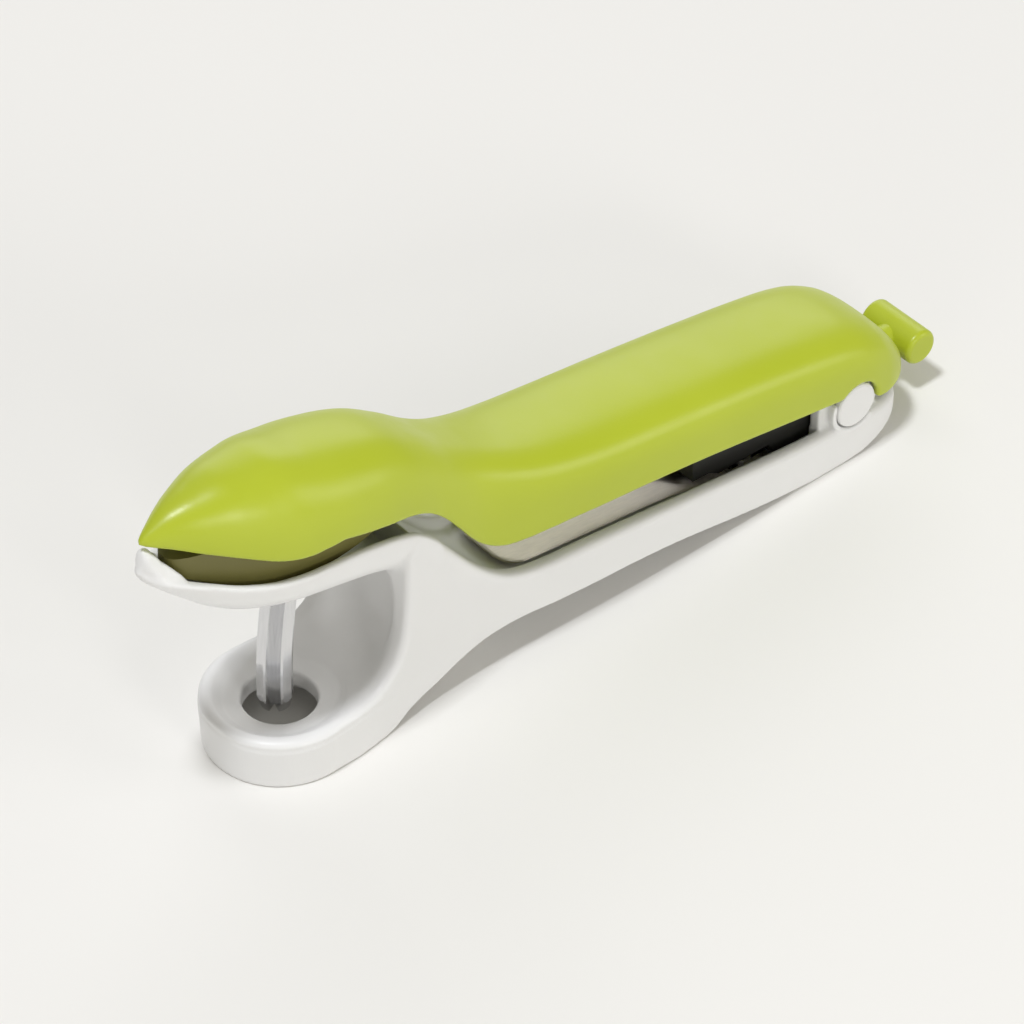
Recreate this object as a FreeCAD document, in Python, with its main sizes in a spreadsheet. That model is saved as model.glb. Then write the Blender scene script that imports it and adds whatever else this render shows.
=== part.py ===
import FreeCAD, Part
import os
import math
import Sketcher
from FreeCAD import Vector, Placement, Rotation

# Olive pitter: white lower handle with a seat cup and a beak, green upper
# lever hinged at the tail, fluted steel punch, leaf spring and a pull lock.
# Millimetres. Working frame of the tables: x = 0 on the seat hole's axis,
# +X to the tail, +Z up, z = 0 on the resting plane. Every sub-part carries a
# Placement that moves the tables' zero to the middle of the overall length.

doc = FreeCAD.newDocument("olive_pitter")
sheet = doc.addObject("Spreadsheet::Sheet", "Sizes")
CELLS = [
    ("origin_back", 67.15, "distance from the hole axis to the middle of the length"),
    ("pivot_x", 138.2, "hinge axis from the hole axis"),
    ("pivot_z", 13.8, "hinge axis above the resting plane"),
    ("pin_radius", 2.0, "hinge pin"),
    ("pin_length", 23.6, "hinge pin"),
    ("pin_clear", 0.06, "running clearance of the lever core on the pin"),
    ("cap_radius", 5.0, "pivot button"),
    ("cap_thick", 1.75, "pivot button"),
    ("cap_face", 14.1, "outer face of the button from the middle plane"),
    ("spigot_radius", 0.95, "button spigot in the end of the pin"),
    ("spigot_length", 3.0, "button spigot"),
    ("hole_radius", 7.4, "stone hole in the seat"),
    ("hole_rim", 9.56, "height of the hole's upper rim"),
    ("plate_bottom", 5.6, "underside of the seat plate"),
    ("cup_hollow", 12.6, "hollow radius under the seat"),
    ("wall_green", 2.2, "wall of the upper handle"),
    ("wall_white", 2.3, "wall of the lower handle"),
    ("rim_width", 3.2, "width of the lower handle's upper land"),
    ("punch_arm", 139.2, "radius of the punch's curve about the hinge"),
    ("punch_span", 3.72, "half span of the punch's cross"),
    ("punch_web", 1.35, "half thickness of the punch's arms"),
    ("punch_tip", 9.0, "height of the tooth tips when closed"),
    ("punch_top", 60.0, "height of the punch's upper end"),
    ("mount_radius", 6.6, "punch mount"),
    ("bar_x", 162.8, "pull bar from the hole axis"),
    ("bar_z", 10.7, "pull bar height"),
    ("bar_radius", 3.9, "pull bar"),
    ("bar_length", 14.6, "pull bar"),
    ("stem_radius", 3.0, "pull bar stem"),
    ("tongue_tail", 4.2, "width of the lock tongue inside the stem"),
    ("core_width", 16.6, "lever core"),
    ("core_seat_front", 22.0, "height of the front screw's seat in the core"),
    ("core_seat_back", 23.4, "height of the rear screw's seat in the core"),
    ("core_top", 27.0, "top of the lever core"),
    ("detent_width", 3.8, "detent leaf"),
    ("cross_pin_radius", 1.0, "pin through punch and mount"),
    ("cross_pin_length", 12.4, "pin through punch and mount"),
    ("rivet_radius", 0.8, "pin through stem and tongue"),
    ("rivet_length", 3.8, "pin through stem and tongue"),
    ("mount_wall", 1.8, "skirt of the punch mount"),
    ("tongue_width", 6.8, "lock tongue"),
    ("tongue_thick", 1.8, "lock tongue"),
    ("tongue_z", 8.5, "underside of the lock tongue"),
    ("spring_width", 16.8, "leaf spring"),
    ("spring_thick", 0.7, "leaf spring"),
    ("clamp_length", 9.6, "spring clamp plate"),
    ("clamp_width", 13.0, "spring clamp plate"),
    ("clamp_thick", 1.2, "spring clamp plate"),
    ("screw_head", 2.3, "radius of the small pan heads"),
    ("screw_rise", 1.3, "height of the small pan heads"),
    ("screw_shank", 1.1, "radius of the small screws"),
    ("screw_deep", 4.0, "small screw shank length"),
]
for i, (alias, value, note) in enumerate(CELLS):
    r = i + 1
    sheet.set("A%d" % r, alias)
    sheet.set("B%d" % r, "%g" % value)
    sheet.set("C%d" % r, note)
    sheet.setAlias("B%d" % r, alias)
doc.recompute()


def S(name):
    v = sheet.get(name)
    return float(getattr(v, "Value", v))


X0 = -S("origin_back")
PX, PZ = S("pivot_x"), S("pivot_z")
HOME = Placement(Vector(X0, 0, 0), Rotation())
nodes = []


def keep(obj, label):
    obj.Label = label
    nodes.append(obj)
    return obj


def feature(label, shape, place=None):
    o = doc.addObject("Part::Feature", label)
    if isinstance(shape, Part.Compound) and len(shape.Solids) == 1:
        shape = shape.Solids[0]
    o.Shape = shape
    o.Placement = place if place is not None else HOME
    return keep(o, label)


# ---------------------------------------------------------------- helpers
def interp(tab):
    """Smooth monotone cubic through (x, value) pairs."""
    xs = [a for a, _ in tab]
    ys = [b for _, b in tab]
    n = len(xs)
    h = [xs[i + 1] - xs[i] for i in range(n - 1)]
    d = [(ys[i + 1] - ys[i]) / h[i] for i in range(n - 1)]
    m = [0.0] * n
    for i in range(1, n - 1):
        if d[i - 1] * d[i] > 0:
            w1, w2 = 2 * h[i] + h[i - 1], h[i] + 2 * h[i - 1]
            m[i] = (w1 + w2) / (w1 / d[i - 1] + w2 / d[i])
    def end(h0, h1, d0, d1):
        v = ((2 * h0 + h1) * d0 - h0 * d1) / (h0 + h1)
        if v * d0 <= 0:
            return 0.0
        if d0 * d1 <= 0 and abs(v) > 3 * abs(d0):
            return 3 * d0
        return v
    m[0] = end(h[0], h[1], d[0], d[1])
    m[-1] = end(h[-1], h[-2], d[-1], d[-2])

    def f(x):
        x = min(max(x, xs[0]), xs[-1])
        k = 0
        while k < n - 2 and x > xs[k + 1]:
            k += 1
        t = (x - xs[k]) / h[k]
        a = (1 + 2 * t) * (1 - t) ** 2 * ys[k] + t * (1 - t) ** 2 * h[k] * m[k]
        b = t * t * (3 - 2 * t) * ys[k + 1] + t * t * (t - 1) * h[k] * m[k + 1]
        return a + b
    return f


def spline(pts):
    c = Part.BSplineCurve()
    c.interpolate([Vector(*p) for p in pts])
    return c.toShape()


def line(a, b):
    return Part.makeLine(Vector(*a), Vector(*b))


def chain(parts):
    """Closed wire from a list of ("L"|"S", points) runs that share ends."""
    edges = []
    for kind, pts in parts:
        if kind == "S" and len(pts) > 2:
            edges.append(spline(pts))
        else:
            for a, b in zip(pts[:-1], pts[1:]):
                edges.append(line(a, b))
    return Part.Wire(Part.__sortEdges__(edges))


def slab(parts, y0, y1):
    """Prism of an XZ outline between y0 and y1."""
    p3 = [(k, [(x, y0, z) for x, z in pts]) for k, pts in parts]
    return Part.Face(chain(p3)).extrude(Vector(0, y1 - y0, 0))


def plate(parts, z0, z1):
    p3 = [(k, [(x, y, z0) for x, y in pts]) for k, pts in parts]
    return Part.Face(chain(p3)).extrude(Vector(0, 0, z1 - z0))


def box(x0, x1, y0, y1, z0, z1):
    return Part.makeBox(x1 - x0, y1 - y0, z1 - z0, Vector(x0, y0, z0))


def cyl_y(x, z, r, y0, y1):
    return Part.makeCylinder(r, y1 - y0, Vector(x, y0, z), Vector(0, 1, 0))


def cyl_z(x, y, r, z0, z1):
    return Part.makeCylinder(r, z1 - z0, Vector(x, y, z0), Vector(0, 0, 1))


# ---------------------------------------------------------------- tables
# upper handle: half width, lower edge, crown height, squareness of section
UP_W = interp([(-31.6, 0.5), (-30, 1.7), (-28, 3.0), (-25, 4.9), (-22, 6.7), (-15, 10.2), (-8, 12.7),
               (0, 14.2), (8, 14.6), (16, 14.2), (24, 13.2), (32, 12.5), (40, 12.6), (48, 13.3),
               (60, 14.2), (75, 14.6), (140, 14.6), (147, 14.0), (151, 12.6), (154, 10.2),
               (156, 7.0), (157, 3.4)])
UP_E = interp([(-31.6, 67.0), (-23.1, 64.0), (-16.3, 61.2), (-6.8, 57.0), (-1, 56.1), (5.2, 55.9),
               (15.1, 53.7), (25.9, 49.5), (29.2, 47.2), (32.5, 43.9), (36.2, 38.7), (39.9, 33.7),
               (43.4, 31.2), (49.3, 29.2), (68.8, 27.4), (94.9, 24.1), (121.8, 19.7), (134.2, 17.7),
               (142, 14.6), (150, 11.6), (158, 11.6)])
UP_T = interp([(-31.6, 67.9), (-29, 69.6), (-25, 71.8), (-20, 73.3), (-13, 74.5), (-5, 74.3),
               (5, 71.7), (14, 69.2), (22, 66.2), (30, 61.0), (38, 54.7), (46, 49.7), (56, 45.6),
               (70, 42.4), (90, 39.3), (110, 36.1), (128, 32.8), (140, 29.8), (147, 26.2),
               (151, 22.7), (154, 18.8), (157, 14.6)])
UP_N = interp([(-31.6, 2.1), (-10, 2.3), (10, 2.4), (30, 2.8), (45, 3.8), (60, 4.6), (140, 4.6), (158, 3.6)])
# fall of the crown from the middle to the sides
UP_C = interp([(-31.6, 0.0), (25, 0.0), (45, 0.9), (60, 1.6), (140, 1.6), (150, 1.0), (158, 0.4)])
# lower handle: half width in plan, upper rim, deck, underside
LO_W = [(24, 13.1), (32, 12.6), (40, 12.6), (50, 12.9), (60, 13.3), (75, 13.8), (90, 14.0), (134, 14.0),
        (140, 14.0), (144, 13.7), (147.6, 13.0), (150.2, 12.0), (152.2, 10.3), (153.5, 8.0), (154.1, 5.0)]
RIM = [(-1, 50.6), (6.5, 50.2), (14, 49.0), (20.7, 46.5), (24.5, 44.9), (27.6, 42.4), (30.0, 39.8),
       (32.4, 36.9), (36.0, 32.2), (39.8, 27.6), (43.0, 24.4), (46.0, 22.0), (50, 20.0), (54.7, 18.8),
       (65, 17.8), (80, 16.3), (106.5, 12.9), (131, 10.1), (140, 9.6), (146, 9.2), (150, 8.8), (152.6, 8.2)]
RIMF = interp(RIM)


def up_section(x, inset, drop):
    """Closed section of the upper handle at x."""
    w = UP_W(x) - inset
    e = UP_E(x)
    t = UP_T(x) - inset * 1.0
    n = UP_N(x)
    hgt = max(t - e, 0.35)
    crown = min(UP_C(x), 0.3 * hgt)
    pts = []
    m = 15
    for k in range(m + 1):
        a = math.pi * k / m
        c, s = math.cos(a), math.sin(a)
        y = -w * math.copysign(abs(c) ** (2.0 / n), c)
        z = e + (hgt - crown * (y / w) ** 2) * abs(s) ** (2.0 / n)
        pts.append((x, y, z))
    pts[0] = (x, -w, e)
    pts[-1] = (x, w, e)
    top = spline(pts)
    a, b = (x, -w, e - drop), (x, w, e - drop)
    return Part.Wire([line(b, a), line(a, pts[0]), top, line(pts[-1], b)])


# ---------------------------------------------------------------- lower handle
def beak_nose():
    pts = [(2.9, 60.0), (2.45, 61.5), (1.75, 63.4), (1.15, 64.8), (0.55, 65.5), (0.0, 65.65)]
    out = [Vector(-34, y, z) for y, z in pts] + [Vector(-34, -y, z) for y, z in pts[-2::-1]]
    low = [Vector(-34, -3.3, 57.0), Vector(-34, 3.3, 57.0)]
    w = Part.Wire([spline(out), line(out[-1], low[0]), line(low[0], low[1]), line(low[1], out[0])])
    gable = Part.Face(w).extrude(Vector(6, 0, 0))
    front = slab([("L", [(-32.4, 60.35), (-31.1, 65.9), (-28.9, 65.9), (-28.9, 57.4), (-30.2, 57.9), (-31.3, 59.1),
                         (-32.4, 60.35)])], -6, 6)
    flare = plate([("L", [(-32.4, -1.35), (-31.4, -2.75), (-28.9, -4.3), (-28.9, 4.3), (-31.4, 2.75), (-32.4, 1.35),
                          (-32.4, -1.35)])], 50, 70)
    return gable.common(front).common(flare)


def beak_hull(inset, lift, x0, x1, up):
    tab_w = interp([(-32.4, 1.6), (-31.4, 3.1), (-29, 4.7), (-25, 6.5), (-20, 8.4), (-14, 10.8), (-7, 12.6),
                    (0, 13.7), (8, 13.9), (17, 13.4), (24, 12.9), (31, 12.55)])
    tab_r = interp([(-32.4, 60.9), (-31.4, 59.8), (-29, 58.8), (-25, 57.4), (-20, 55.4), (-14, 53.2), (-7, 51.5),
                    (0, 50.9), (8, 50.1), (17, 47.9), (24, 45.3), (31, 38.6)])
    tab_b = interp([(-32.4, 60.2), (-31.4, 58.5), (-29, 55.8), (-25, 52.0), (-20, 47.4), (-14, 43.9), (-7, 41.6),
                    (0, 40.0), (8, 38.1), (17, 35.3), (24, 31.7), (31, 27.0)])
    wires = []
    xs = [x for x in (-32.4, -31.4, -29.5, -27, -24.5, -22, -18.5, -15, -11.5, -8, -4, 0, 4, 8, 12, 16, 20, 24, 27.5, 31)
          if x0 <= x <= x1]
    for x in xs:
        w, zr, zb = tab_w(x) - inset, tab_r(x) + up, tab_b(x) + lift
        zr0 = tab_r(x)
        pts = []
        m = 13
        n = 2.35
        for k in range(m + 1):
            a = math.pi * k / m
            c, s = math.cos(a), math.sin(a)
            pts.append((x, -w * math.copysign(abs(c) ** (2 / n), c), zr0 - (zr0 - zb) * abs(s) ** (2 / n)))
        pts[0] = (x, -w, zr0)
        pts[-1] = (x, w, zr0)
        if up > 0:
            e = [spline(pts), line(pts[-1], (x, w, zr)), line((x, w, zr), (x, -w, zr)), line((x, -w, zr), pts[0])]
        else:
            e = [spline(pts), line(pts[-1], pts[0])]
        wires.append(Part.Wire(e))
    return Part.makeLoft(wires, True, False)


def make_lower():
    # side outline of cup, spine and handle
    bottom = [(14, 0), (17.5, 0.5), (21, 2.0), (25, 3.2), (29, 4.2), (34, 5.9), (39, 7.5), (46, 8.5),
              (52, 8.3), (59, 7.6), (75, 6.6), (89, 5.4), (104, 2.9), (118, 0.8), (126, 0.0)]
    heel = [(134, 0.0), (139, 0.25), (142.6, 0.8), (146.5, 1.9), (149.8, 3.4), (152.2, 5.2), (154.0, 7.2)]
    crest = [(21.4, 34.5), (21.1, 29.5), (20.7, 25.0), (19.7, 19.8), (17.6, 15.9), (14.0, 12.9), (10.0, 11.7),
             (4, 11.45)]
    rim = [p for p in RIM if p[0] >= 24]
    outline = [("L", [(-15.9, 11.45), (-15.9, 0), (14, 0)]), ("S", bottom), ("L", [(126, 0), (134, 0)]),
               ("S", heel), ("L", [(154.0, 7.2), (152.6, 8.2)]), ("S", rim[::-1]),
               ("L", [(24.5, 44.9), (21.4, 41.0), (21.4, 34.5)]), ("S", crest), ("L", [(4, 11.45), (-15.9, 11.45)])]
    side = slab(outline, -16.5, 16.5)
    # plan outline: round cup, waist, straight handle, blunt rounded tail
    half = [(2.0, 15.7), (10, 15.0), (15, 14.35), (20, 13.6)] + LO_W
    tail = [(154.1, 5.0), (154.3, 2.5), (154.35, 0), (154.3, -2.5), (154.1, -5.0)]
    a0 = math.radians(90 - 7.3)
    arc = [(15.83 * math.cos(a0 + (2 * math.pi - 2 * a0) * k / 24), 15.83 * math.sin(a0 + (2 * math.pi - 2 * a0) * k / 24))
           for k in range(25)]
    half[0] = arc[0]
    arc[-1] = (arc[0][0], -arc[0][1])
    plan = plate([("S", half), ("S", tail), ("S", [(x, -y) for x, y in half][::-1]), ("S", arc[::-1])], -1, 60)
    body = side.common(plan)
    # cup wall leans in towards the floor
    lean = Part.makeCone(15.35, 15.95, 11.6, Vector(0, 0, -0.05))
    ring = box(-17, 0.5, -17, 17, -1, 12).cut(lean)
    body = body.cut(ring)
    # scoop between the seat and the spine
    secs = []
    for z, xc, a, b in ((10.2, 0.6, 12.4, 12.2), (12, 2.4, 14.6, 12.5), (15, 6.5, 15.4, 12.0), (19, 10.0, 14.8, 11.8),
                        (24, 12.0, 14.0, 11.5), (29, 12.4, 13.2, 11.3), (34, 12.0, 12.0, 11.0), (38, 12.0, 11.2, 10.6)):
        e = Part.Ellipse(Vector(xc, 0, z), max(a, b), min(a, b)).toShape() if a >= b else None
        if e is None:
            e = Part.Ellipse(Vector(xc, 0, z), b, a).toShape()
            e.rotate(Vector(xc, 0, z), Vector(0, 0, 1), 90)
        secs.append(Part.Wire([e]))
    scoop = Part.makeLoft(secs, True, False)
    body = body.cut(scoop)
    dish = Part.makeCone(S("hole_radius") - 0.35, 12.6, 10.3 - S("hole_rim") + 0.06,
                         Vector(0, 0, S("hole_rim") - 0.05))
    body = body.cut(dish)
    # beak, with a raised nose at its tip
    body = body.fuse(beak_hull(0, 0, -40, 40, 0)).removeSplitter()
    body = body.fuse(beak_nose())
    body = body.cut(beak_hull(1.9, 2.1, -29.5, 27.6, 14))
    # recessed channel along the top of spine and handle
    rw = S("rim_width")
    deck = [(23.5, 42.6), (26.4, 40.6), (29.6, 36.9), (36.9, 27.7), (41.0, 23.2), (45.2, 19.3), (50, 17.0),
            (60, 15.2), (80, 12.6), (93, 10.7), (99, 9.3), (104, 7.1), (108.2, 5.45)]
    chan = slab([("S", deck), ("L", [deck[-1], (133.5, 5.45), (148, 5.0), (160, 5.0), (160, 80), (23.5, 80), deck[0]])],
                -16, 16)
    inner = [(23.5, 13.1 - rw + 0.3), (32, 12.6 - rw + 0.3), (40, 12.6 - rw), (50, 12.9 - rw), (60, 13.3 - rw),
             (75, 13.8 - rw), (90, 14.0 - rw), (129.9, 14.0 - rw)]
    cplan = plate([("S", inner), ("L", [inner[-1], (129.9, -inner[-1][1])]), ("S", [(x, -y) for x, y in inner][::-1]),
                   ("L", [(inner[0][0], -inner[0][1]), inner[0]])], 0, 60)
    body = body.cut(chan.common(cplan))
    # between the ears and behind them
    body = body.cut(chan.common(box(129.8, 151.2, -8.9, 8.9, 0, 60)))
    body = body.cut(box(148.6, 160, -5.0, 5.0, -2, 40))
    # hollow underside with cross ribs
    ww = S("wall_white")
    under = [(50, 12.9 - ww), (60, 13.3 - ww), (75, 13.8 - ww), (90, 14.0 - ww), (134, 14.0 - ww), (140, 13.9 - ww),
             (145, 13.3 - ww)]
    uplan = plate([("S", under), ("L", [under[-1], (145, -under[-1][1])]), ("S", [(x, -y) for x, y in under][::-1]),
                   ("L", [(50, -under[0][1]), under[0]])], -2, 40)
    ceil = [(50, 14.4), (60, 12.9), (80, 10.3), (93, 8.4), (99, 6.9), (104, 4.8), (108.2, 3.2)]
    uslab = slab([("S", ceil), ("L", [ceil[-1], (145, 3.0), (145, -3), (50, -3), (50, 14.4)])], -16, 16)
    hollow = uslab.common(uplan)
    for rx in (68, 88, 107.5):
        hollow = hollow.cut(box(rx - 0.8, rx + 0.8, -16, 16, -4, 40))
    body = body.cut(hollow)
    # seat: hollow under the plate and the stone hole
    body = body.cut(cyl_z(0, 0, S("cup_hollow"), -1, S("plate_bottom")))
    body = body.cut(cyl_z(0, 0, S("hole_radius"), 1, 20))
    # guide hole for the punch through the beak
    body = body.cut(cyl_z(0.8, 0, 4.8, 30, 44.5))
    # ears carry the hinge pin
    for sgn in (-1, 1):
        y0, y1 = (9.0, 11.7) if sgn > 0 else (-11.7, -9.0)
        ear = cyl_y(PX, PZ, 8.2, y0, y1).fuse(slab([("L", [(130.0, 4.0), (130.0, 13.8), (146.4, 13.8), (146.4, 4.0),
                                                          (130.0, 4.0)])], y0, y1))
        b0, b1 = (11.7, 13.9) if sgn > 0 else (-13.9, -11.7)
        boss = cyl_y(PX, PZ, 6.5, b0, b1)
        keepr = slab([("L", [(131.2, 17.4), (145.2, 8.0), (145.2, 4.0), (131.2, 4.0), (131.2, 17.4)])], b0 - 1, b1 + 1)
        boss = boss.common(keepr)
        body = body.fuse(ear).fuse(boss)
    body = body.removeSplitter()
    for y0, y1 in ((12.0, 15.0), (-15.0, -12.0)):
        body = body.cut(cyl_y(PX, PZ, S("cap_radius") + 0.35, y0, y1))
    body = body.cut(cyl_y(PX, PZ, S("pin_radius") + 0.01, -16, 16))
    # slot for the lock tongue, spring screw holes
    body = body.cut(box(122.6, 135.6, -4.0, 4.0, -2, 8))
    for sy in (-4.2, 4.2):
        body = body.fuse(cyl_z(115.5, sy, 2.6, 1.4, 5.45))
        body = body.cut(cyl_z(115.5, sy, S("screw_shank") + 0.05, 1.0, 12))
    return body


lower = feature("lower_handle", make_lower())


# ---------------------------------------------------------------- upper handle
def make_upper():
    xs = [-31.6, -30, -28, -25, -22, -18, -13, -8, -2, 4, 10, 16, 22, 27, 32, 37, 42, 48, 56, 66, 80, 100, 120, 134,
          141, 146, 149.5, 152, 154, 155.6, 157.0]
    drop = 12.0
    outer = Part.makeLoft([up_section(x, 0.0, drop) for x in xs], True, False)
    wg = S("wall_green")
    xi = [-26.5, -22, -18, -13, -8, -2, 4, 10, 16, 22, 27, 32, 37, 42, 48, 56, 66, 80, 100, 120, 134, 141, 146,
          149.5, 152, 153.6]
    inner = Part.makeLoft([up_section(x, wg, drop + 2) for x in xi], True, False)
    shell = outer.cut(inner)
    edge = [(-36, 68.9), (-31.1, 66.8), (-27, 65.5), (-22.5, 63.7), (-16, 61.0), (-11, 58.7), (-6.7, 57.0),
            (-2.7, 56.2), (2.2, 56.1)]
    edge2 = [(5.6, 56.2), (10, 54.9), (15.1, 53.4), (21, 51.7), (25.9, 49.6), (29.2, 47.2), (32.5, 43.7), (36.2, 38.7),
             (39.9, 33.9), (43.4, 31.0), (46.0, 29.8), (49.3, 29.1), (58, 28.4), (68.8, 27.4), (94.9, 24.1), (121.8, 19.7),
             (134.4, 17.6)]
    below = slab([("S", edge), ("L", [(2.2, 56.1), (5.6, 56.2)]), ("S", edge2),
                  ("L", [(134.4, 17.6), (138.2, 13.8), (143.0, 13.4)]),
                  ("S", [(143.0, 13.4), (144.6, 12.7), (147.0, 12.4), (150.6, 12.35), (152.6, 12.5), (154.0, 13.0)]),
                  ("L", [(154.0, 13.0), (170, 13.0), (170, -20), (-36, -20), (-36, 69.0)])], -20, 20)
    shell = shell.cut(below)
    for y0, y1 in ((9.0, 20.0), (-20.0, -9.0)):
        shell = shell.cut(cyl_y(PX, PZ, S("cap_radius") + 0.55, y0, y1))
    # the pull bar nests in a scallop when pushed in
    shell = shell.cut(cyl_y(159.3, S("bar_z"), S("bar_radius") + 0.45, -7.9, 7.9))
    shell = shell.cut(box(150, 159.3, -4.0, 4.0, 5, 15.0))
    # posts inside for the core and the punch mount
    hull = Part.makeLoft([up_section(x, wg - 1.0, drop) for x in xi], True, False)
    for x, z0, r in ((106.0, 27.1, 3.2), (126.0, 27.1, 3.2), (-12.0, 61.6, 3.0), (14.5, 61.6, 3.0)):
        shell = shell.fuse(cyl_z(x, 0, r, z0, 90).common(hull))
    for x, z0, d in ((106.0, 27.1, 5.2), (126.0, 27.1, 3.6), (-12.0, 61.6, 4.2), (14.5, 61.6, 4.2)):
        shell = shell.cut(cyl_z(x, 0, S("screw_shank") + 0.05, z0 - 1, z0 + d))
    return shell


upper = feature("upper_handle", make_upper())


# ---------------------------------------------------------------- punch
def cross_face(grow):
    arm, sp, wb = S("punch_arm"), S("punch_span") + grow, S("punch_web") + grow
    c = 0.35
    pts = [(-sp, -wb + c), (-sp, wb - c), (-sp + c, wb), (-wb, wb), (-wb, sp - c), (-wb + c, sp), (wb - c, sp),
           (wb, sp - c), (wb, wb), (sp - c, wb), (sp, wb - c), (sp, -wb + c), (sp - c, -wb), (wb, -wb), (wb, -sp + c),
           (wb - c, -sp), (-wb + c, -sp), (-wb, -sp + c), (-wb, -wb), (-sp + c, -wb)]
    return Part.Face(Part.makePolygon([Vector(PX - arm + x, y, PZ) for x, y in pts + pts[:1]]))


def punch_solid(grow, z_low, z_high):
    """Cross-section swept on its arc about the hinge axis."""
    arm = S("punch_arm")
    a0 = math.degrees(math.asin((z_low - PZ) / arm))
    a1 = math.degrees(math.asin((z_high - PZ) / arm))
    face = cross_face(grow)
    face.rotate(Vector(PX, 0, PZ), Vector(0, 1, 0), a0)
    return face.revolve(Vector(PX, 0, PZ), Vector(0, 1, 0), a1 - a0)


def make_punch():
    tip, arm, crown = S("punch_tip"), S("punch_arm"), 4.4
    shaft = punch_solid(0, tip + crown, S("punch_top"))
    # crown of four teeth below the curved shaft: outer bevel and a conical hollow
    a = math.asin((tip + crown - PZ) / arm)
    tan = Vector(math.sin(a), 0, math.cos(a))
    p0 = Vector(PX - arm * math.cos(a), 0, tip + crown)
    arm_face = cross_face(0)
    arm_face.rotate(Vector(PX, 0, PZ), Vector(0, 1, 0), math.degrees(a))
    teeth = arm_face.extrude(tan * -crown)
    foot = p0 - tan * crown
    bevel = Part.makeCylinder(9, crown - 0.6, foot, tan).cut(Part.makeCone(3.05, 4.1, crown - 0.6, foot, tan))
    teeth = teeth.cut(bevel)
    teeth = teeth.cut(Part.makeCone(3.3, 0.1, 3.4, foot - tan * 0.4, tan))
    return shaft.fuse(teeth)


punch = feature("punch", make_punch())


def make_mount():
    # hollow skirt that fills the head's mouth, top plate, column for the punch
    half = [(-26.4, 0.0), (-26.2, 1.4), (-24.5, 3.0), (-20, 4.9), (-14, 7.2), (-7, 9.2), (0, 10.4), (8, 10.5), (14, 9.8),
            (18.5, 8.2), (20.6, 5.6), (21.2, 2.8), (21.3, 0.0)]
    low = [(-27, 58.4), (-24, 56.6), (-20, 54.3), (-14, 51.5), (-7, 49.3), (0, 48.6), (8, 48.5), (22, 48.5)]
    wall = S("mount_wall")

    def outline(inset):
        pts = [(max(min(x, 21.3 - inset), -26.4 + inset * 1.7), max(y - inset, 0.0)) for x, y in half]
        pts = [q for i, q in enumerate(pts) if i == 0 or math.hypot(q[0] - pts[i - 1][0], q[1] - pts[i - 1][1]) > 0.3]
        pts = [q for q in pts if q[1] > 0]
        ends = [(-26.4 + inset * 1.7, 0.0)] + pts + [(21.3 - inset, 0.0)]
        return [("S", ends + [(x, -y) for x, y in pts[::-1]] + [ends[0]])]

    def prism(inset, lift, z1):
        p = [(x, z + lift) for x, z in low]
        side = slab([("S", p), ("L", [p[-1], (22, z1), (-27, z1), p[0]])], -14, 14)
        return plate(outline(inset), 40, 70).common(side)
    m = prism(0.0, 0.0, 61.5)
    m = m.cut(plate(outline(wall), 40, 58.9))
    m = m.fuse(cyl_z(0.8, 0, S("mount_radius"), 47.6, 60.0))
    m = m.fuse(box(-14.5, 17.2, -1.0, 1.0, 52.0, 59.4))
    for x in (-12.0, 14.5):
        m = m.fuse(cyl_z(x, 0, 4.2, 54.0, 60.0))
    m = m.removeSplitter()
    m = m.cut(punch_solid(0.03, 40, 60.05))
    for x in (-12.0, 14.5):
        m = m.cut(cyl_z(x, 0, S("screw_shank") + 0.1, 50, 70))
        m = m.cut(cyl_z(x, 0, S("screw_head") + 0.25, 50, 58.9))
    m = m.cut(cyl_y(PX - math.sqrt(S("punch_arm") ** 2 - (52.5 - PZ) ** 2), 52.5, 1.02, -10, 10))
    return m


mount = feature("punch_mount", make_mount())

# cross pin that holds the punch in its mount
px52 = PX - math.sqrt(S("punch_arm") ** 2 - (52.5 - PZ) ** 2)
punch.Shape = punch.Shape.cut(cyl_y(px52 + X0, 52.5, 1.01, -10, 10))
punch.Placement = Placement()
ppin = doc.addObject("Part::Cylinder", "punch_pin")
ppin.setExpression("Radius", "Sizes.cross_pin_radius")
ppin.setExpression("Height", "Sizes.cross_pin_length")
ppin.Placement = Placement(Vector(px52 + X0, 6.2, 52.5), Rotation(Vector(1, 0, 0), 90))
keep(ppin, "punch_pin")


# ---------------------------------------------------------------- revolved small parts
def origin_plane(body, role):
    for f in body.Origin.OriginFeatures:
        if f.Role == role:
            return f
    raise RuntimeError(role)


def revolve_body(label, pts, place, binds=None):
    """PartDesign body: closed polygon in the XZ plane turned about Z."""
    body = doc.addObject("PartDesign::Body", label + "_body")
    sk = body.newObject("Sketcher::SketchObject", label + "_sketch")
    sk.AttachmentSupport = [(origin_plane(body, "XZ_Plane"), "")]
    sk.MapMode = "FlatFace"
    n = len(pts)
    for i in range(n):
        a, b = pts[i], pts[(i + 1) % n]
        sk.addGeometry(Part.LineSegment(Vector(a[0], a[1], 0), Vector(b[0], b[1], 0)), False)
    for i in range(n):
        sk.addConstraint(Sketcher.Constraint("Coincident", i, 2, (i + 1) % n, 1))
    for idx, kind, vtx, alias in (binds or []):
        c = sk.addConstraint(Sketcher.Constraint(kind, -1, 1, idx, vtx, 1.0 if kind == "none" else
                                                 (pts[idx][0] if kind == "DistanceX" else pts[idx][1])))
        sk.setExpression("Constraints[%d]" % c, "Sizes." + alias)
    rev = body.newObject("PartDesign::Revolution", label + "_turn")
    rev.Profile = sk
    rev.ReferenceAxis = (sk, ["V_Axis"])
    rev.Angle = 360
    body.Tip = rev
    body.Placement = place
    doc.recompute()
    return keep(body, label)


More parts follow.
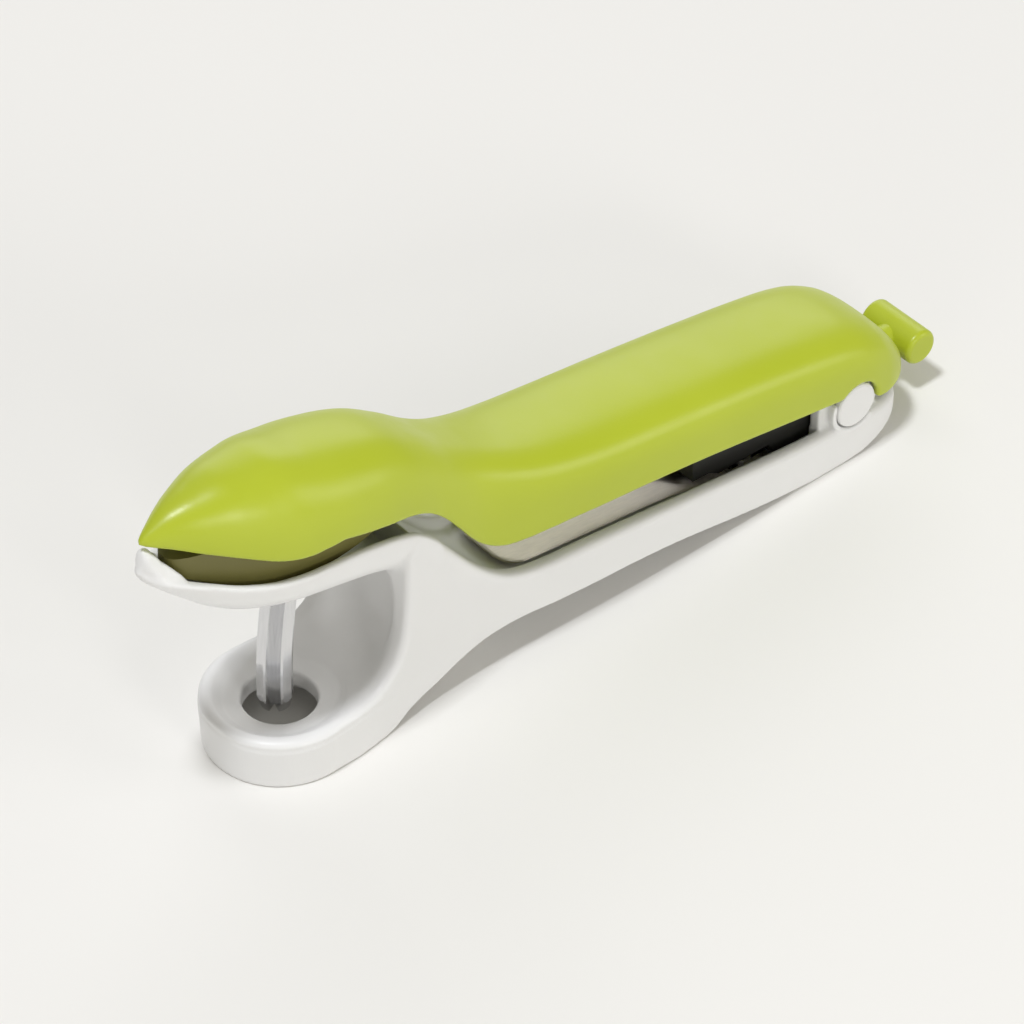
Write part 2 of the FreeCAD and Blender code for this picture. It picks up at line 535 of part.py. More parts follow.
def drawn(body, name, plane, loops):
    """Sketch of closed polygons and circles on one of the body's own origin planes.
    A circle is (x, y, radius, alias): its radius is tied to the sheet."""
    sk = body.newObject("Sketcher::SketchObject", name)
    sk.AttachmentSupport = [(origin_plane(body, plane), "")]
    sk.MapMode = "FlatFace"
    k = 0
    for kind, data in loops:
        if kind == "poly":
            n = len(data)
            for i in range(n):
                a, b = data[i], data[(i + 1) % n]
                sk.addGeometry(Part.LineSegment(Vector(a[0], a[1], 0), Vector(b[0], b[1], 0)), False)
            for i in range(n):
                sk.addConstraint(Sketcher.Constraint("Coincident", k + i, 2, k + (i + 1) % n, 1))
            k += n
        else:
            x, y, r, alias = data
            sk.addGeometry(Part.Circle(Vector(x, y, 0), Vector(0, 0, 1), r), False)
            c = sk.addConstraint(Sketcher.Constraint("Radius", k, r))
            sk.setExpression("Constraints[%d]" % c, alias)
            k += 1
    return sk


def pad(body, name, sketch, length, both_ways=False):
    f = body.newObject("PartDesign::Pad", name)
    f.Profile = sketch
    f.setExpression("Length", length)
    if both_ways:
        f.Midplane = True
    body.Tip = f
    doc.recompute()
    return f


def pocket(body, name, sketch, length=None, both_ways=False, up=False):
    f = body.newObject("PartDesign::Pocket", name)
    f.Profile = sketch
    if length is None:
        f.Type = "ThroughAll"
    else:
        f.setExpression("Length", length)
    if both_ways:
        f.Midplane = True
    if up:
        f.Reversed = True
    body.Tip = f
    doc.recompute()
    return f


def rectangle(x0, x1, y0, y1):
    return ("poly", [(x0, y0), (x1, y0), (x1, y1), (x0, y1)])


ROT_NEAR = Rotation(Vector(1, 0, 0), 90)     # local +Z looks along -Y
ROT_FAR = Rotation(Vector(1, 0, 0), -90)     # local +Z looks along +Y

# hinge pin: hollow ends take the button spigots
hl = S("pin_length") / 2
sr = S("spigot_radius") + 0.02
pr = S("pin_radius")
pin_pts = [(0, -hl + 3.6), (sr, -hl + 3.6), (sr, -hl), (pr, -hl), (pr, hl), (sr, hl), (sr, hl - 3.6), (0, hl - 3.6)]
revolve_body("pivot_pin", pin_pts, Placement(Vector(PX + X0, 0, PZ), ROT_NEAR),
             [(4, "DistanceX", 1, "pin_radius")])

# buttons: domed disc with a short spigot
cr, ct, cf = S("cap_radius"), S("cap_thick"), S("cap_face")
hp = hl
cap = [(0, 0), (S("spigot_radius"), 0), (S("spigot_radius"), S("spigot_length")),
       (cr - 0.25, S("spigot_length")), (cr, S("spigot_length") + 0.3), (cr, S("spigot_length") + ct - 0.55),
       (cr - 0.18, S("spigot_length") + ct - 0.2), (cr - 0.6, S("spigot_length") + ct - 0.03),
       (cr - 2.4, S("spigot_length") + ct), (0, S("spigot_length") + ct)]
base_y = cf - ct - S("spigot_length")
revolve_body("pivot_cap_near", cap, Placement(Vector(PX + X0, -base_y, PZ), ROT_NEAR),
             [(1, "DistanceX", 1, "spigot_radius")])
revolve_body("pivot_cap_far", cap, Placement(Vector(PX + X0, base_y, PZ), ROT_FAR),
             [(1, "DistanceX", 1, "spigot_radius")])


# ---------------------------------------------------------------- lever core
# block inside the upper handle: turns on the hinge pin and guides the tongue
tz, tt = S("tongue_z"), S("tongue_thick")
core = doc.addObject("PartDesign::Body", "lever_core_body")
prof = [(99.0, 27.0), (131.0, 27.0), (140.5, 23.4), (148.0, 18.6), (151.2, 14.8), (151.2, 13.0), (146.5, 10.4),
        (145.5, 7.9), (142.0, 7.1), (121.0, 7.1), (119.6, 10.4), (106.0, 10.6), (103.2, 12.2), (99.0, 12.4)]
pad(core, "core_block", drawn(core, "core_side", "XZ_Plane", [("poly", prof)]), "Sizes.core_width", True)
pocket(core, "core_bore", drawn(core, "core_bore_circle", "XZ_Plane", [
    ("circle", (PX, PZ, S("pin_radius") + S("pin_clear"), "Sizes.pin_radius + Sizes.pin_clear"))]),
    "2 * Sizes.core_width", True)
pocket(core, "core_channel", drawn(core, "core_channel_side", "XZ_Plane", [
    ("poly", [(118.0, tz - 0.15), (119.0, tz - 0.15), (119.0, 5.0), (133.2, 5.0), (133.2, tz - 0.15), (145.6, tz - 0.15),
              (145.6, 5.0), (153.0, 5.0), (153.0, 14.0), (145.6, 14.0), (145.6, tz + tt + 0.2), (118.0, tz + tt + 0.2)])]),
    "Sizes.tongue_width + 0.3", True)
pocket(core, "core_leaf_seat", drawn(core, "core_leaf_side", "XZ_Plane", [
    rectangle(121.5, 131.0, tz + tt, tz + tt + 1.3)]), "Sizes.detent_width + 0.6", True)
pocket(core, "core_screw_holes", drawn(core, "core_holes", "XY_Plane", [
    ("circle", (x, 0, S("screw_shank") + 0.1, "Sizes.screw_shank + 0.1")) for x in (106.0, 126.0)]),
    "Sizes.core_top + 3", up=True)
pocket(core, "core_head_front", drawn(core, "core_counter_front", "XY_Plane", [
    ("circle", (106.0, 0, S("screw_head") + 0.25, "Sizes.screw_head + 0.25"))]), "Sizes.core_seat_front", up=True)
pocket(core, "core_head_back", drawn(core, "core_counter_back", "XY_Plane", [
    ("circle", (126.0, 0, S("screw_head") + 0.25, "Sizes.screw_head + 0.25"))]), "Sizes.core_seat_back", up=True)
core.Placement = HOME
keep(core, "lever_core")


def screw(x, y, z, up, shank, head_r=None, rise=None):
    """Pan head screw: head seat at z, shank along +Z (up) or -Z."""
    hr = head_r or S("screw_head")
    rs = rise or S("screw_rise")
    s = 1 if up else -1
    head = Part.makeCylinder(hr, rs, Vector(x, y, z), Vector(0, 0, -s))
    edge = [e for e in head.Edges if abs(e.CenterOfMass.z - (z - s * rs)) < 1e-3 and e.Length > 2 * hr * 2]
    try:
        head = head.makeFillet(rs * 0.45, edge[:1])
    except Exception:
        pass
    sh = Part.makeCylinder(S("screw_shank"), shank, Vector(x, y, z), Vector(0, 0, s))
    slot = box(x - hr, x + hr, y - 0.3, y + 0.3, min(z - s * rs, z - s * (rs - 0.6)), max(z - s * rs, z - s * (rs - 0.6)))
    slot2 = box(x - 0.3, x + 0.3, y - hr * 0.7, y + hr * 0.7, min(z - s * rs, z - s * (rs - 0.6)),
                max(z - s * rs, z - s * (rs - 0.6)))
    slot = slot.common(cyl_z(x, y, hr * 0.7, z - 5, z + 5))
    return head.fuse(sh).cut(slot).cut(slot2)


feature("mount_screws", Part.makeCompound([screw(-12.0, 0, 58.9, True, 6.2), screw(14.5, 0, 58.9, True, 6.2)]))
feature("core_screws", Part.makeCompound([screw(106.0, 0, 22.0, True, 9.4), screw(126.0, 0, 23.4, True, 6.8)]))


# ---------------------------------------------------------------- leaf spring
def make_spring():
    t, w = S("spring_thick"), S("spring_width")
    low = [(50.6, 18.05), (56, 17.15), (62, 16.3), (70, 15.2), (80, 13.9), (88, 12.8), (94, 11.7), (99, 10.2),
           (103, 8.4), (106, 6.8), (108.4, 5.8), (110.4, 5.5)]
    top = []
    for i, (x, z) in enumerate(low):
        a = low[max(i - 1, 0)]
        b = low[min(i + 1, len(low) - 1)]
        dx, dz = b[0] - a[0], b[1] - a[1]
        ln = math.hypot(dx, dz)
        top.append((x - dz / ln * t, z + dx / ln * t))
    top[-1] = (110.4, 5.5 + t)
    sp = slab([("S", low), ("L", [low[-1], (121.2, 5.5), (121.2, 5.5 + t), top[-1]]), ("S", top[::-1]),
               ("L", [top[0], low[0]])], -w / 2, w / 2)
    # rounded free end
    r = 4.2
    for sgn in (-1, 1):
        cut = box(44, 50.6 + r, min(sgn * (w / 2 - r), sgn * (w / 2 + 2)), max(sgn * (w / 2 - r), sgn * (w / 2 + 2)), 0, 30)
        cut = cut.cut(cyl_z(50.6 + r, sgn * (w / 2 - r), r, 0, 30))
        sp = sp.cut(cut)
    for sy in (-4.2, 4.2):
        sp = sp.cut(cyl_z(115.5, sy, S("screw_shank") + 0.1, 0, 12))
    return sp


feature("leaf_spring", make_spring())

# clamp plate over the spring's root, with its two screw holes
zc = 5.5 + S("spring_thick") + 0.02
clamp = doc.addObject("PartDesign::Body", "spring_clamp_body")
cw, cl = S("clamp_width") / 2, S("clamp_length")
pad(clamp, "clamp_plate", drawn(clamp, "clamp_outline", "XY_Plane", [
    ("poly", [(0.6, -cw), (cl - 0.6, -cw), (cl, -cw + 0.6), (cl, cw - 0.6), (cl - 0.6, cw), (0.6, cw), (0, cw - 0.6),
              (0, -cw + 0.6)])]), "Sizes.clamp_thick")
pocket(clamp, "clamp_holes", drawn(clamp, "clamp_hole_circles", "XY_Plane", [
    ("circle", (4.7, sy, S("screw_shank") + 0.1, "Sizes.screw_shank + 0.1")) for sy in (-4.2, 4.2)]), None, True)
clamp.Placement = Placement(Vector(110.8 + X0, 0, zc), Rotation())
keep(clamp, "spring_clamp")
zt = zc + S("clamp_thick")
feature("spring_screws", Part.makeCompound([screw(115.5, -4.2, zt, False, 5.2), screw(115.5, 4.2, zt, False, 5.2)]))


# ---------------------------------------------------------------- lock
# pull bar: rounded cross bar on a round stem that is forked over the tongue
bx, bz = S("bar_x"), S("bar_z")
cross = doc.addObject("Part::Cylinder", "bar_cross")
cross.setExpression("Radius", "Sizes.bar_radius")
cross.setExpression("Height", "Sizes.bar_length")
cross.Placement = Placement(Vector(bx, S("bar_length") / 2, bz), Rotation(Vector(1, 0, 0), 90))
stem = doc.addObject("Part::Cylinder", "bar_stem")
stem.setExpression("Radius", "Sizes.stem_radius")
stem.Height = bx - 150.2
stem.Placement = Placement(Vector(150.2, 0, bz), Rotation(Vector(0, 1, 0), 90))
doc.recompute()
soft = doc.addObject("Part::Fillet", "bar_soft")
soft.Base = cross
soft.Edges = [(i + 1, 1.1, 1.1) for i, e in enumerate(cross.Shape.Edges) if abs(e.Length - 2 * math.pi * S("bar_radius")) < 0.5]
joined = doc.addObject("Part::MultiFuse", "bar_joined")
joined.Shapes = [soft, stem]
fork = doc.addObject("Part::Box", "bar_fork")
fork.Length = 8.0
fork.setExpression("Width", "Sizes.tongue_tail + 0.2")
fork.setExpression("Height", "Sizes.tongue_thick + 0.1")
fork.Placement = Placement(Vector(149.6, -S("tongue_tail") / 2 - 0.1, S("tongue_z") - 0.05), Rotation())
drill = doc.addObject("Part::Cylinder", "bar_drill")
drill.setExpression("Radius", "Sizes.rivet_radius + 0.02")
drill.setExpression("Height", "Sizes.rivet_length + 0.1")
drill.Placement = Placement(Vector(153.2, 0, S("tongue_z")), Rotation())
gaps = doc.addObject("Part::MultiFuse", "bar_gaps")
gaps.Shapes = [fork, drill]
bar = doc.addObject("Part::Cut", "pull_bar_cut")
bar.Base = joined
bar.Tool = gaps
bar.Placement = HOME
doc.recompute()
keep(bar, "pull_bar")

# lock tongue: flat strip with two detent notches and a hook, narrow behind
tz, tt, tw, tn = S("tongue_z"), S("tongue_thick"), S("tongue_width"), S("tongue_tail")
top = tz + tt
tongue = doc.addObject("PartDesign::Body", "lock_tongue_body")
side_pts = [(124.8, tz), (128.6, tz), (128.6, 3.4), (131.4, 3.4), (131.4, tz), (157.0, tz), (157.0, top), (131.2, top),
            (130.9, top - 0.35), (130.5, top - 0.45), (130.1, top - 0.35), (129.8, top), (127.7, top), (127.4, top - 0.35),
            (127.0, top - 0.45), (126.6, top - 0.35), (126.3, top), (124.8, top)]
pad(tongue, "tongue_strip", drawn(tongue, "tongue_side", "XZ_Plane", [("poly", side_pts)]), "Sizes.tongue_width", True)
pocket(tongue, "tongue_neck", drawn(tongue, "tongue_plan", "XY_Plane", [
    rectangle(148.6, 158.0, tn / 2, tw), rectangle(148.6, 158.0, -tw, -tn / 2)]), "3 * Sizes.tongue_z", True)
pocket(tongue, "tongue_eye", drawn(tongue, "tongue_hole", "XY_Plane", [
    ("circle", (153.2, 0, S("rivet_radius") + 0.02, "Sizes.rivet_radius + 0.02"))]), "3 * Sizes.tongue_z", True)
tongue.Placement = HOME
keep(tongue, "lock_tongue")

tp = doc.addObject("Part::Cylinder", "tongue_pin")
tp.setExpression("Radius", "Sizes.rivet_radius")
tp.setExpression("Height", "Sizes.rivet_length")
tp.Placement = Placement(Vector(153.2 + X0, 0, S("tongue_z") + 0.05), Rotation())
keep(tp, "tongue_pin")

# detent leaf: bent strip above the tongue with a nose over the rear notch
dz = S("tongue_z") + S("tongue_thick")
leaf = doc.addObject("PartDesign::Body", "detent_leaf_body")
leaf_pts = [(121.8, dz + 1.25), (121.8, dz + 0.95), (128.6, dz + 0.75), (129.6, dz + 0.28), (130.5, dz - 0.02),
            (131.0, dz + 0.28), (130.6, dz + 0.66), (129.9, dz + 0.72), (129.0, dz + 1.08)]
pad(leaf, "leaf_strip", drawn(leaf, "leaf_side", "XZ_Plane", [("poly", leaf_pts)]), "Sizes.detent_width", True)
leaf.Placement = HOME
keep(leaf, "detent_leaf")

# ---------------------------------------------------------------- write
doc.recompute()
bad = []
for o in doc.Objects:
    st = [s for s in o.State if s in ("Invalid", "Error")]
    if st:
        bad.append((o.Label, st))
for o in nodes:
    if o.Shape.isNull() or not o.Shape.isValid() or not o.Shape.Solids:
        bad.append((o.Label, "shape"))
if bad:
    print("PROBLEMS", bad)
os.makedirs("parts", exist_ok=True)
allbb = FreeCAD.BoundBox()
for o in nodes:
    if o.Shape.isNull():
        continue
    o.Shape.exportStep("parts/%s.step" % o.Label)
    b = o.Shape.BoundBox
    pts = o.Shape.tessellate(0.2)[0]
    for v in (Vector(min(q.x for q in pts), min(q.y for q in pts), min(q.z for q in pts)),
              Vector(max(q.x for q in pts), max(q.y for q in pts), max(q.z for q in pts))):
        allbb.add(v)
    print("%-16s solids %d vol %9.1f  x %7.2f %7.2f y %7.2f %7.2f z %6.2f %6.2f" % (
        o.Label, len(o.Shape.Solids), o.Shape.Volume, b.XMin, b.XMax, b.YMin, b.YMax, b.ZMin, b.ZMax))
print("ALL x %.3f %.3f y %.3f %.3f z %.3f %.3f" % (allbb.XMin, allbb.XMax, allbb.YMin, allbb.YMax, allbb.ZMin, allbb.ZMax))
if bad:
    raise SystemExit("unfinished shapes: %s" % bad)
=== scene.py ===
import bpy
import bmesh
import math
import numpy as np
from mathutils import Matrix, Vector


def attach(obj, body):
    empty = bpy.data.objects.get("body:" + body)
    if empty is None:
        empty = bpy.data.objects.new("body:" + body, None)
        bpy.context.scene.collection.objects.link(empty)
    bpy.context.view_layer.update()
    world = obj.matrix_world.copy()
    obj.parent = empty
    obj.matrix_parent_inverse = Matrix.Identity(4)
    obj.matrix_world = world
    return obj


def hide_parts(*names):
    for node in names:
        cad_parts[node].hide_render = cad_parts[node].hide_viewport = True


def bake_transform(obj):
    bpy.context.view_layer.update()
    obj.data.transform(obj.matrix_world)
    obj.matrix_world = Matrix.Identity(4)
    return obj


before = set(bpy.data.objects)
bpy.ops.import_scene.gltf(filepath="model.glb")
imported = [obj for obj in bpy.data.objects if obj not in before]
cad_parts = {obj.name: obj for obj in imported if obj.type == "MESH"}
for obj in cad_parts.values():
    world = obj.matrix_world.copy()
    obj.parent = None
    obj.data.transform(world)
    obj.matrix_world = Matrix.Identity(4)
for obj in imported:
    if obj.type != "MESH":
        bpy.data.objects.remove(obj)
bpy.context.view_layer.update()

# ------------------------------------------------------------------ numbers
# Working frame of the tables, in millimetres: x = 0 on the seat hole's axis,
# +X to the tail, +Z up. The row frame is OFF millimetres further back.
OFF = 67.15
PX, PZ = 138.2, 13.8
MM = 0.001


def pchip(tab):
    xs = np.array([a for a, _ in tab], float)
    ys = np.array([b for _, b in tab], float)
    h = np.diff(xs)
    d = np.diff(ys) / h
    m = np.zeros(len(xs))
    for i in range(1, len(xs) - 1):
        if d[i - 1] * d[i] > 0:
            w1, w2 = 2 * h[i] + h[i - 1], h[i] + 2 * h[i - 1]
            m[i] = (w1 + w2) / (w1 / d[i - 1] + w2 / d[i])

    def end(h0, h1, d0, d1):
        v = ((2 * h0 + h1) * d0 - h0 * d1) / (h0 + h1)
        if v * d0 <= 0:
            return 0.0
        if d0 * d1 <= 0 and abs(v) > 3 * abs(d0):
            return 3 * d0
        return v
    m[0] = end(h[0], h[1], d[0], d[1])
    m[-1] = end(h[-1], h[-2], d[-1], d[-2])

    def f(x):
        x = np.clip(np.asarray(x, float), xs[0], xs[-1])
        k = np.clip(np.searchsorted(xs, x, side="right") - 1, 0, len(xs) - 2)
        t = (x - xs[k]) / h[k]
        return ((1 + 2 * t) * (1 - t) ** 2 * ys[k] + t * (1 - t) ** 2 * h[k] * m[k]
                + t * t * (3 - 2 * t) * ys[k + 1] + t * t * (t - 1) * h[k] * m[k + 1])
    return f


def smooth(v, a, b):
    t = np.clip((v - a) / (b - a), 0, 1)
    return t * t * (3 - 2 * t)


def curve(pts, step=0.35):
    """Points along a smooth line through pts (chord-length natural cubic)."""
    p = np.array(pts, float)
    s = np.r_[0, np.cumsum(np.hypot(*np.diff(p, axis=0).T))]
    n = len(p)
    if n == 2:
        return p
    out = []
    u = np.linspace(0, s[-1], max(int(s[-1] / step), 2 * n))
    for c in range(2):
        y = p[:, c]
        h = np.diff(s)
        a = np.zeros((n, n))
        r = np.zeros(n)
        a[0, 0] = a[-1, -1] = 1
        for i in range(1, n - 1):
            a[i, i - 1], a[i, i], a[i, i + 1] = h[i - 1], 2 * (h[i - 1] + h[i]), h[i]
            r[i] = 6 * ((y[i + 1] - y[i]) / h[i] - (y[i] - y[i - 1]) / h[i - 1])
        m = np.linalg.solve(a, r)
        k = np.clip(np.searchsorted(s, u, side="right") - 1, 0, n - 2)
        hk = h[k]
        lo, hi = s[k + 1] - u, u - s[k]
        out.append(m[k] * lo ** 3 / (6 * hk) + m[k + 1] * hi ** 3 / (6 * hk)
                   + (y[k] / hk - m[k] * hk / 6) * lo + (y[k + 1] / hk - m[k + 1] * hk / 6) * hi)
    return np.stack(out, 1)


def poly(parts):
    """Dense closed outline from ("L"|"S", points) runs."""
    out = []
    for kind, pts in parts:
        q = curve(pts) if kind == "S" else np.array(pts, float)
        out.append(q if not out else (q[1:] if np.hypot(*(q[0] - out[-1][-1])) < 1e-6 else q))
    q = np.concatenate(out)
    if np.hypot(*(q[0] - q[-1])) < 1e-6:
        q = q[:-1]
    return q


def poly_dist(q, a, b):
    """Signed distance (negative inside) of outline q on the grid a x b."""
    A, B = np.meshgrid(a, b, indexing="ij")
    d2 = np.full(A.shape, 1e18)
    odd = np.zeros(A.shape, bool)
    n = len(q)
    for i in range(n):
        x0, y0 = q[i]
        x1, y1 = q[(i + 1) % n]
        ex, ey = x1 - x0, y1 - y0
        l2 = ex * ex + ey * ey
        if l2 < 1e-14:
            continue
        t = np.clip(((A - x0) * ex + (B - y0) * ey) / l2, 0, 1)
        dx, dy = A - x0 - t * ex, B - y0 - t * ey
        np.minimum(d2, dx * dx + dy * dy, out=d2)
        if y0 != y1:
            odd ^= ((B >= min(y0, y1)) & (B < max(y0, y1))
                    & (A < x0 + (B - y0) * ex / (ey if ey else 1e-12)))
    d = np.sqrt(d2)
    return np.where(odd, -d, d).astype(np.float32)


def both(a, b, r):
    """Intersection with the outside edge rounded to radius r."""
    u = np.maximum(r + a, 0)
    v = np.maximum(r + b, 0)
    return np.minimum(-r, np.maximum(a, b)) + np.sqrt(u * u + v * v)


def either(a, b, r):
    """Union with the inside corner filled to radius r."""
    u = np.maximum(r - a, 0)
    v = np.maximum(r - b, 0)
    return np.maximum(r, np.minimum(a, b)) - np.sqrt(u * u + v * v)


def less(a, b, r):
    return both(a, -b, r)


def unit(g, h):
    """First-order distance of an implicit field."""
    gx, gy, gz = np.gradient(g, h)
    n = np.sqrt(gx * gx + gy * gy + gz * gz)
    return (g / np.maximum(n, 1e-3)).astype(np.float32)


def boxd(X, Y, Z, x0, x1, y0, y1, z0, z1):
    dx = np.abs(X - (x0 + x1) / 2) - (x1 - x0) / 2
    dy = np.abs(Y - (y0 + y1) / 2) - (y1 - y0) / 2
    dz = np.abs(Z - (z0 + z1) / 2) - (z1 - z0) / 2
    o = np.sqrt(np.maximum(dx, 0) ** 2 + np.maximum(dy, 0) ** 2 + np.maximum(dz, 0) ** 2)
    return o + np.minimum(np.maximum(np.maximum(dx, dy), dz), 0)


def cyl_y(X, Y, Z, x, z, r, y0, y1):
    a = np.sqrt((X - x) ** 2 + (Z - z) ** 2) - r
    b = np.maximum(y0 - Y, Y - y1)
    return both(a, b, 0.001)


def cyl_z(X, Y, Z, x, y, r, z0, z1):
    a = np.sqrt((X - x) ** 2 + (Y - y) ** 2) - r
    b = np.maximum(z0 - Z, Z - z1)
    return both(a, b, 0.001)


# ------------------------------------------------------------------ meshing
def surface(f, org, h):
    """Quads on the zero level of f, one vertex in each crossed cell."""
    s = f < 0
    c = np.zeros(tuple(n - 1 for n in f.shape), np.int8)
    for i in (0, 1):
        for j in (0, 1):
            for k in (0, 1):
                c += s[i:s.shape[0] - 1 + i, j:s.shape[1] - 1 + j, k:s.shape[2] - 1 + k]
    act = (c > 0) & (c < 8)
    ids = np.argwhere(act)
    num = np.full(act.shape, -1, np.int32)
    num[act] = np.arange(len(ids))
    pos = np.zeros((len(ids), 3))
    cnt = np.zeros(len(ids))
    i, j, k = ids.T
    for ax in range(3):
        for u in (0, 1):
            for v in (0, 1):
                o = [0, 0, 0]
                others = [q for q in range(3) if q != ax]
                o[others[0]], o[others[1]] = u, v
                e = list(o)
                e[ax] = 1
                f0 = f[i + o[0], j + o[1], k + o[2]]
                f1 = f[i + e[0], j + e[1], k + e[2]]
                m = (f0 < 0) != (f1 < 0)
                t = np.where(m, f0 / np.where(m, f0 - f1, 1), 0)
                p = np.zeros((len(ids), 3))
                p[:, ax] = t
                p[:, others[0]] = u
                p[:, others[1]] = v
                pos += np.where(m[:, None], p, 0)
                cnt += m
    pos = ids + pos / cnt[:, None]
    # slide each vertex on to the surface
    lim = np.array(f.shape) - 1.001
    for _ in range(3):
        b = np.clip(pos, 0, lim).astype(int)
        w = pos - b
        val = np.zeros(len(pos))
        g = np.zeros((len(pos), 3))
        for di in (0, 1):
            for dj in (0, 1):
                for dk in (0, 1):
                    q = f[b[:, 0] + di, b[:, 1] + dj, b[:, 2] + dk]
                    wx = w[:, 0] if di else 1 - w[:, 0]
                    wy = w[:, 1] if dj else 1 - w[:, 1]
                    wz = w[:, 2] if dk else 1 - w[:, 2]
                    val += q * wx * wy * wz
                    g[:, 0] += q * (1 if di else -1) * wy * wz
                    g[:, 1] += q * (1 if dj else -1) * wx * wz
                    g[:, 2] += q * (1 if dk else -1) * wx * wy
        n2 = np.maximum((g * g).sum(1), 1e-6)
        step = -(val / n2)[:, None] * g
        ln = np.linalg.norm(step, axis=1)
        step *= np.minimum(1, 0.35 / np.maximum(ln, 1e-9))[:, None]
        pos = pos + step
    quads = []
    for ax in range(3):
        a0 = [slice(None)] * 3
        a1 = [slice(None)] * 3
        a0[ax] = slice(0, -1)
        a1[ax] = slice(1, None)
        s0, s1 = s[tuple(a0)], s[tuple(a1)]
        o1, o2 = [(1, 2), (2, 0), (0, 1)][ax]
        e = np.argwhere(s0 != s1)
        ok = (e[:, o1] > 0) & (e[:, o2] > 0) & (e[:, o1] < f.shape[o1] - 1) & (e[:, o2] < f.shape[o2] - 1)
        e = e[ok]
        sign = s0[tuple(e.T)]
        c0 = e.copy()
        c1 = e.copy(); c1[:, o1] -= 1
        c2 = e.copy(); c2[:, o1] -= 1; c2[:, o2] -= 1
        c3 = e.copy(); c3[:, o2] -= 1
        q = np.stack([num[tuple(t.T)] for t in (c0, c1, c2, c3)], 1)
        q[~sign] = q[~sign][:, ::-1]
        quads.append(q)
    quads = np.concatenate(quads)
    quads = quads[(quads >= 0).all(1)]
    return np.array(org) + pos * h, quads


def mesh_object(name, v, q, smooth_faces=True):
    """v in working millimetres, q quads or triangles."""
    v = (np.asarray(v, float) - (OFF, 0, 0)) * MM
    me = bpy.data.meshes.new(name)
    q = np.asarray(q, np.int32)
    me.vertices.add(len(v))
    me.vertices.foreach_set("co", v.astype(np.float32).ravel())
    me.loops.add(q.size)
    me.loops.foreach_set("vertex_index", q.ravel())
    me.polygons.add(len(q))
    me.polygons.foreach_set("loop_start", np.arange(0, q.size, q.shape[1], dtype=np.int32))
    me.polygons.foreach_set("use_smooth", np.full(len(q), smooth_faces))
    me.update(calc_edges=True)
    me.validate()
    o = bpy.data.objects.new(name, me)
    bpy.context.scene.collection.objects.link(o)
    return o


def mirrored(f):
    return np.concatenate([f[:, :0:-1], f], axis=1)


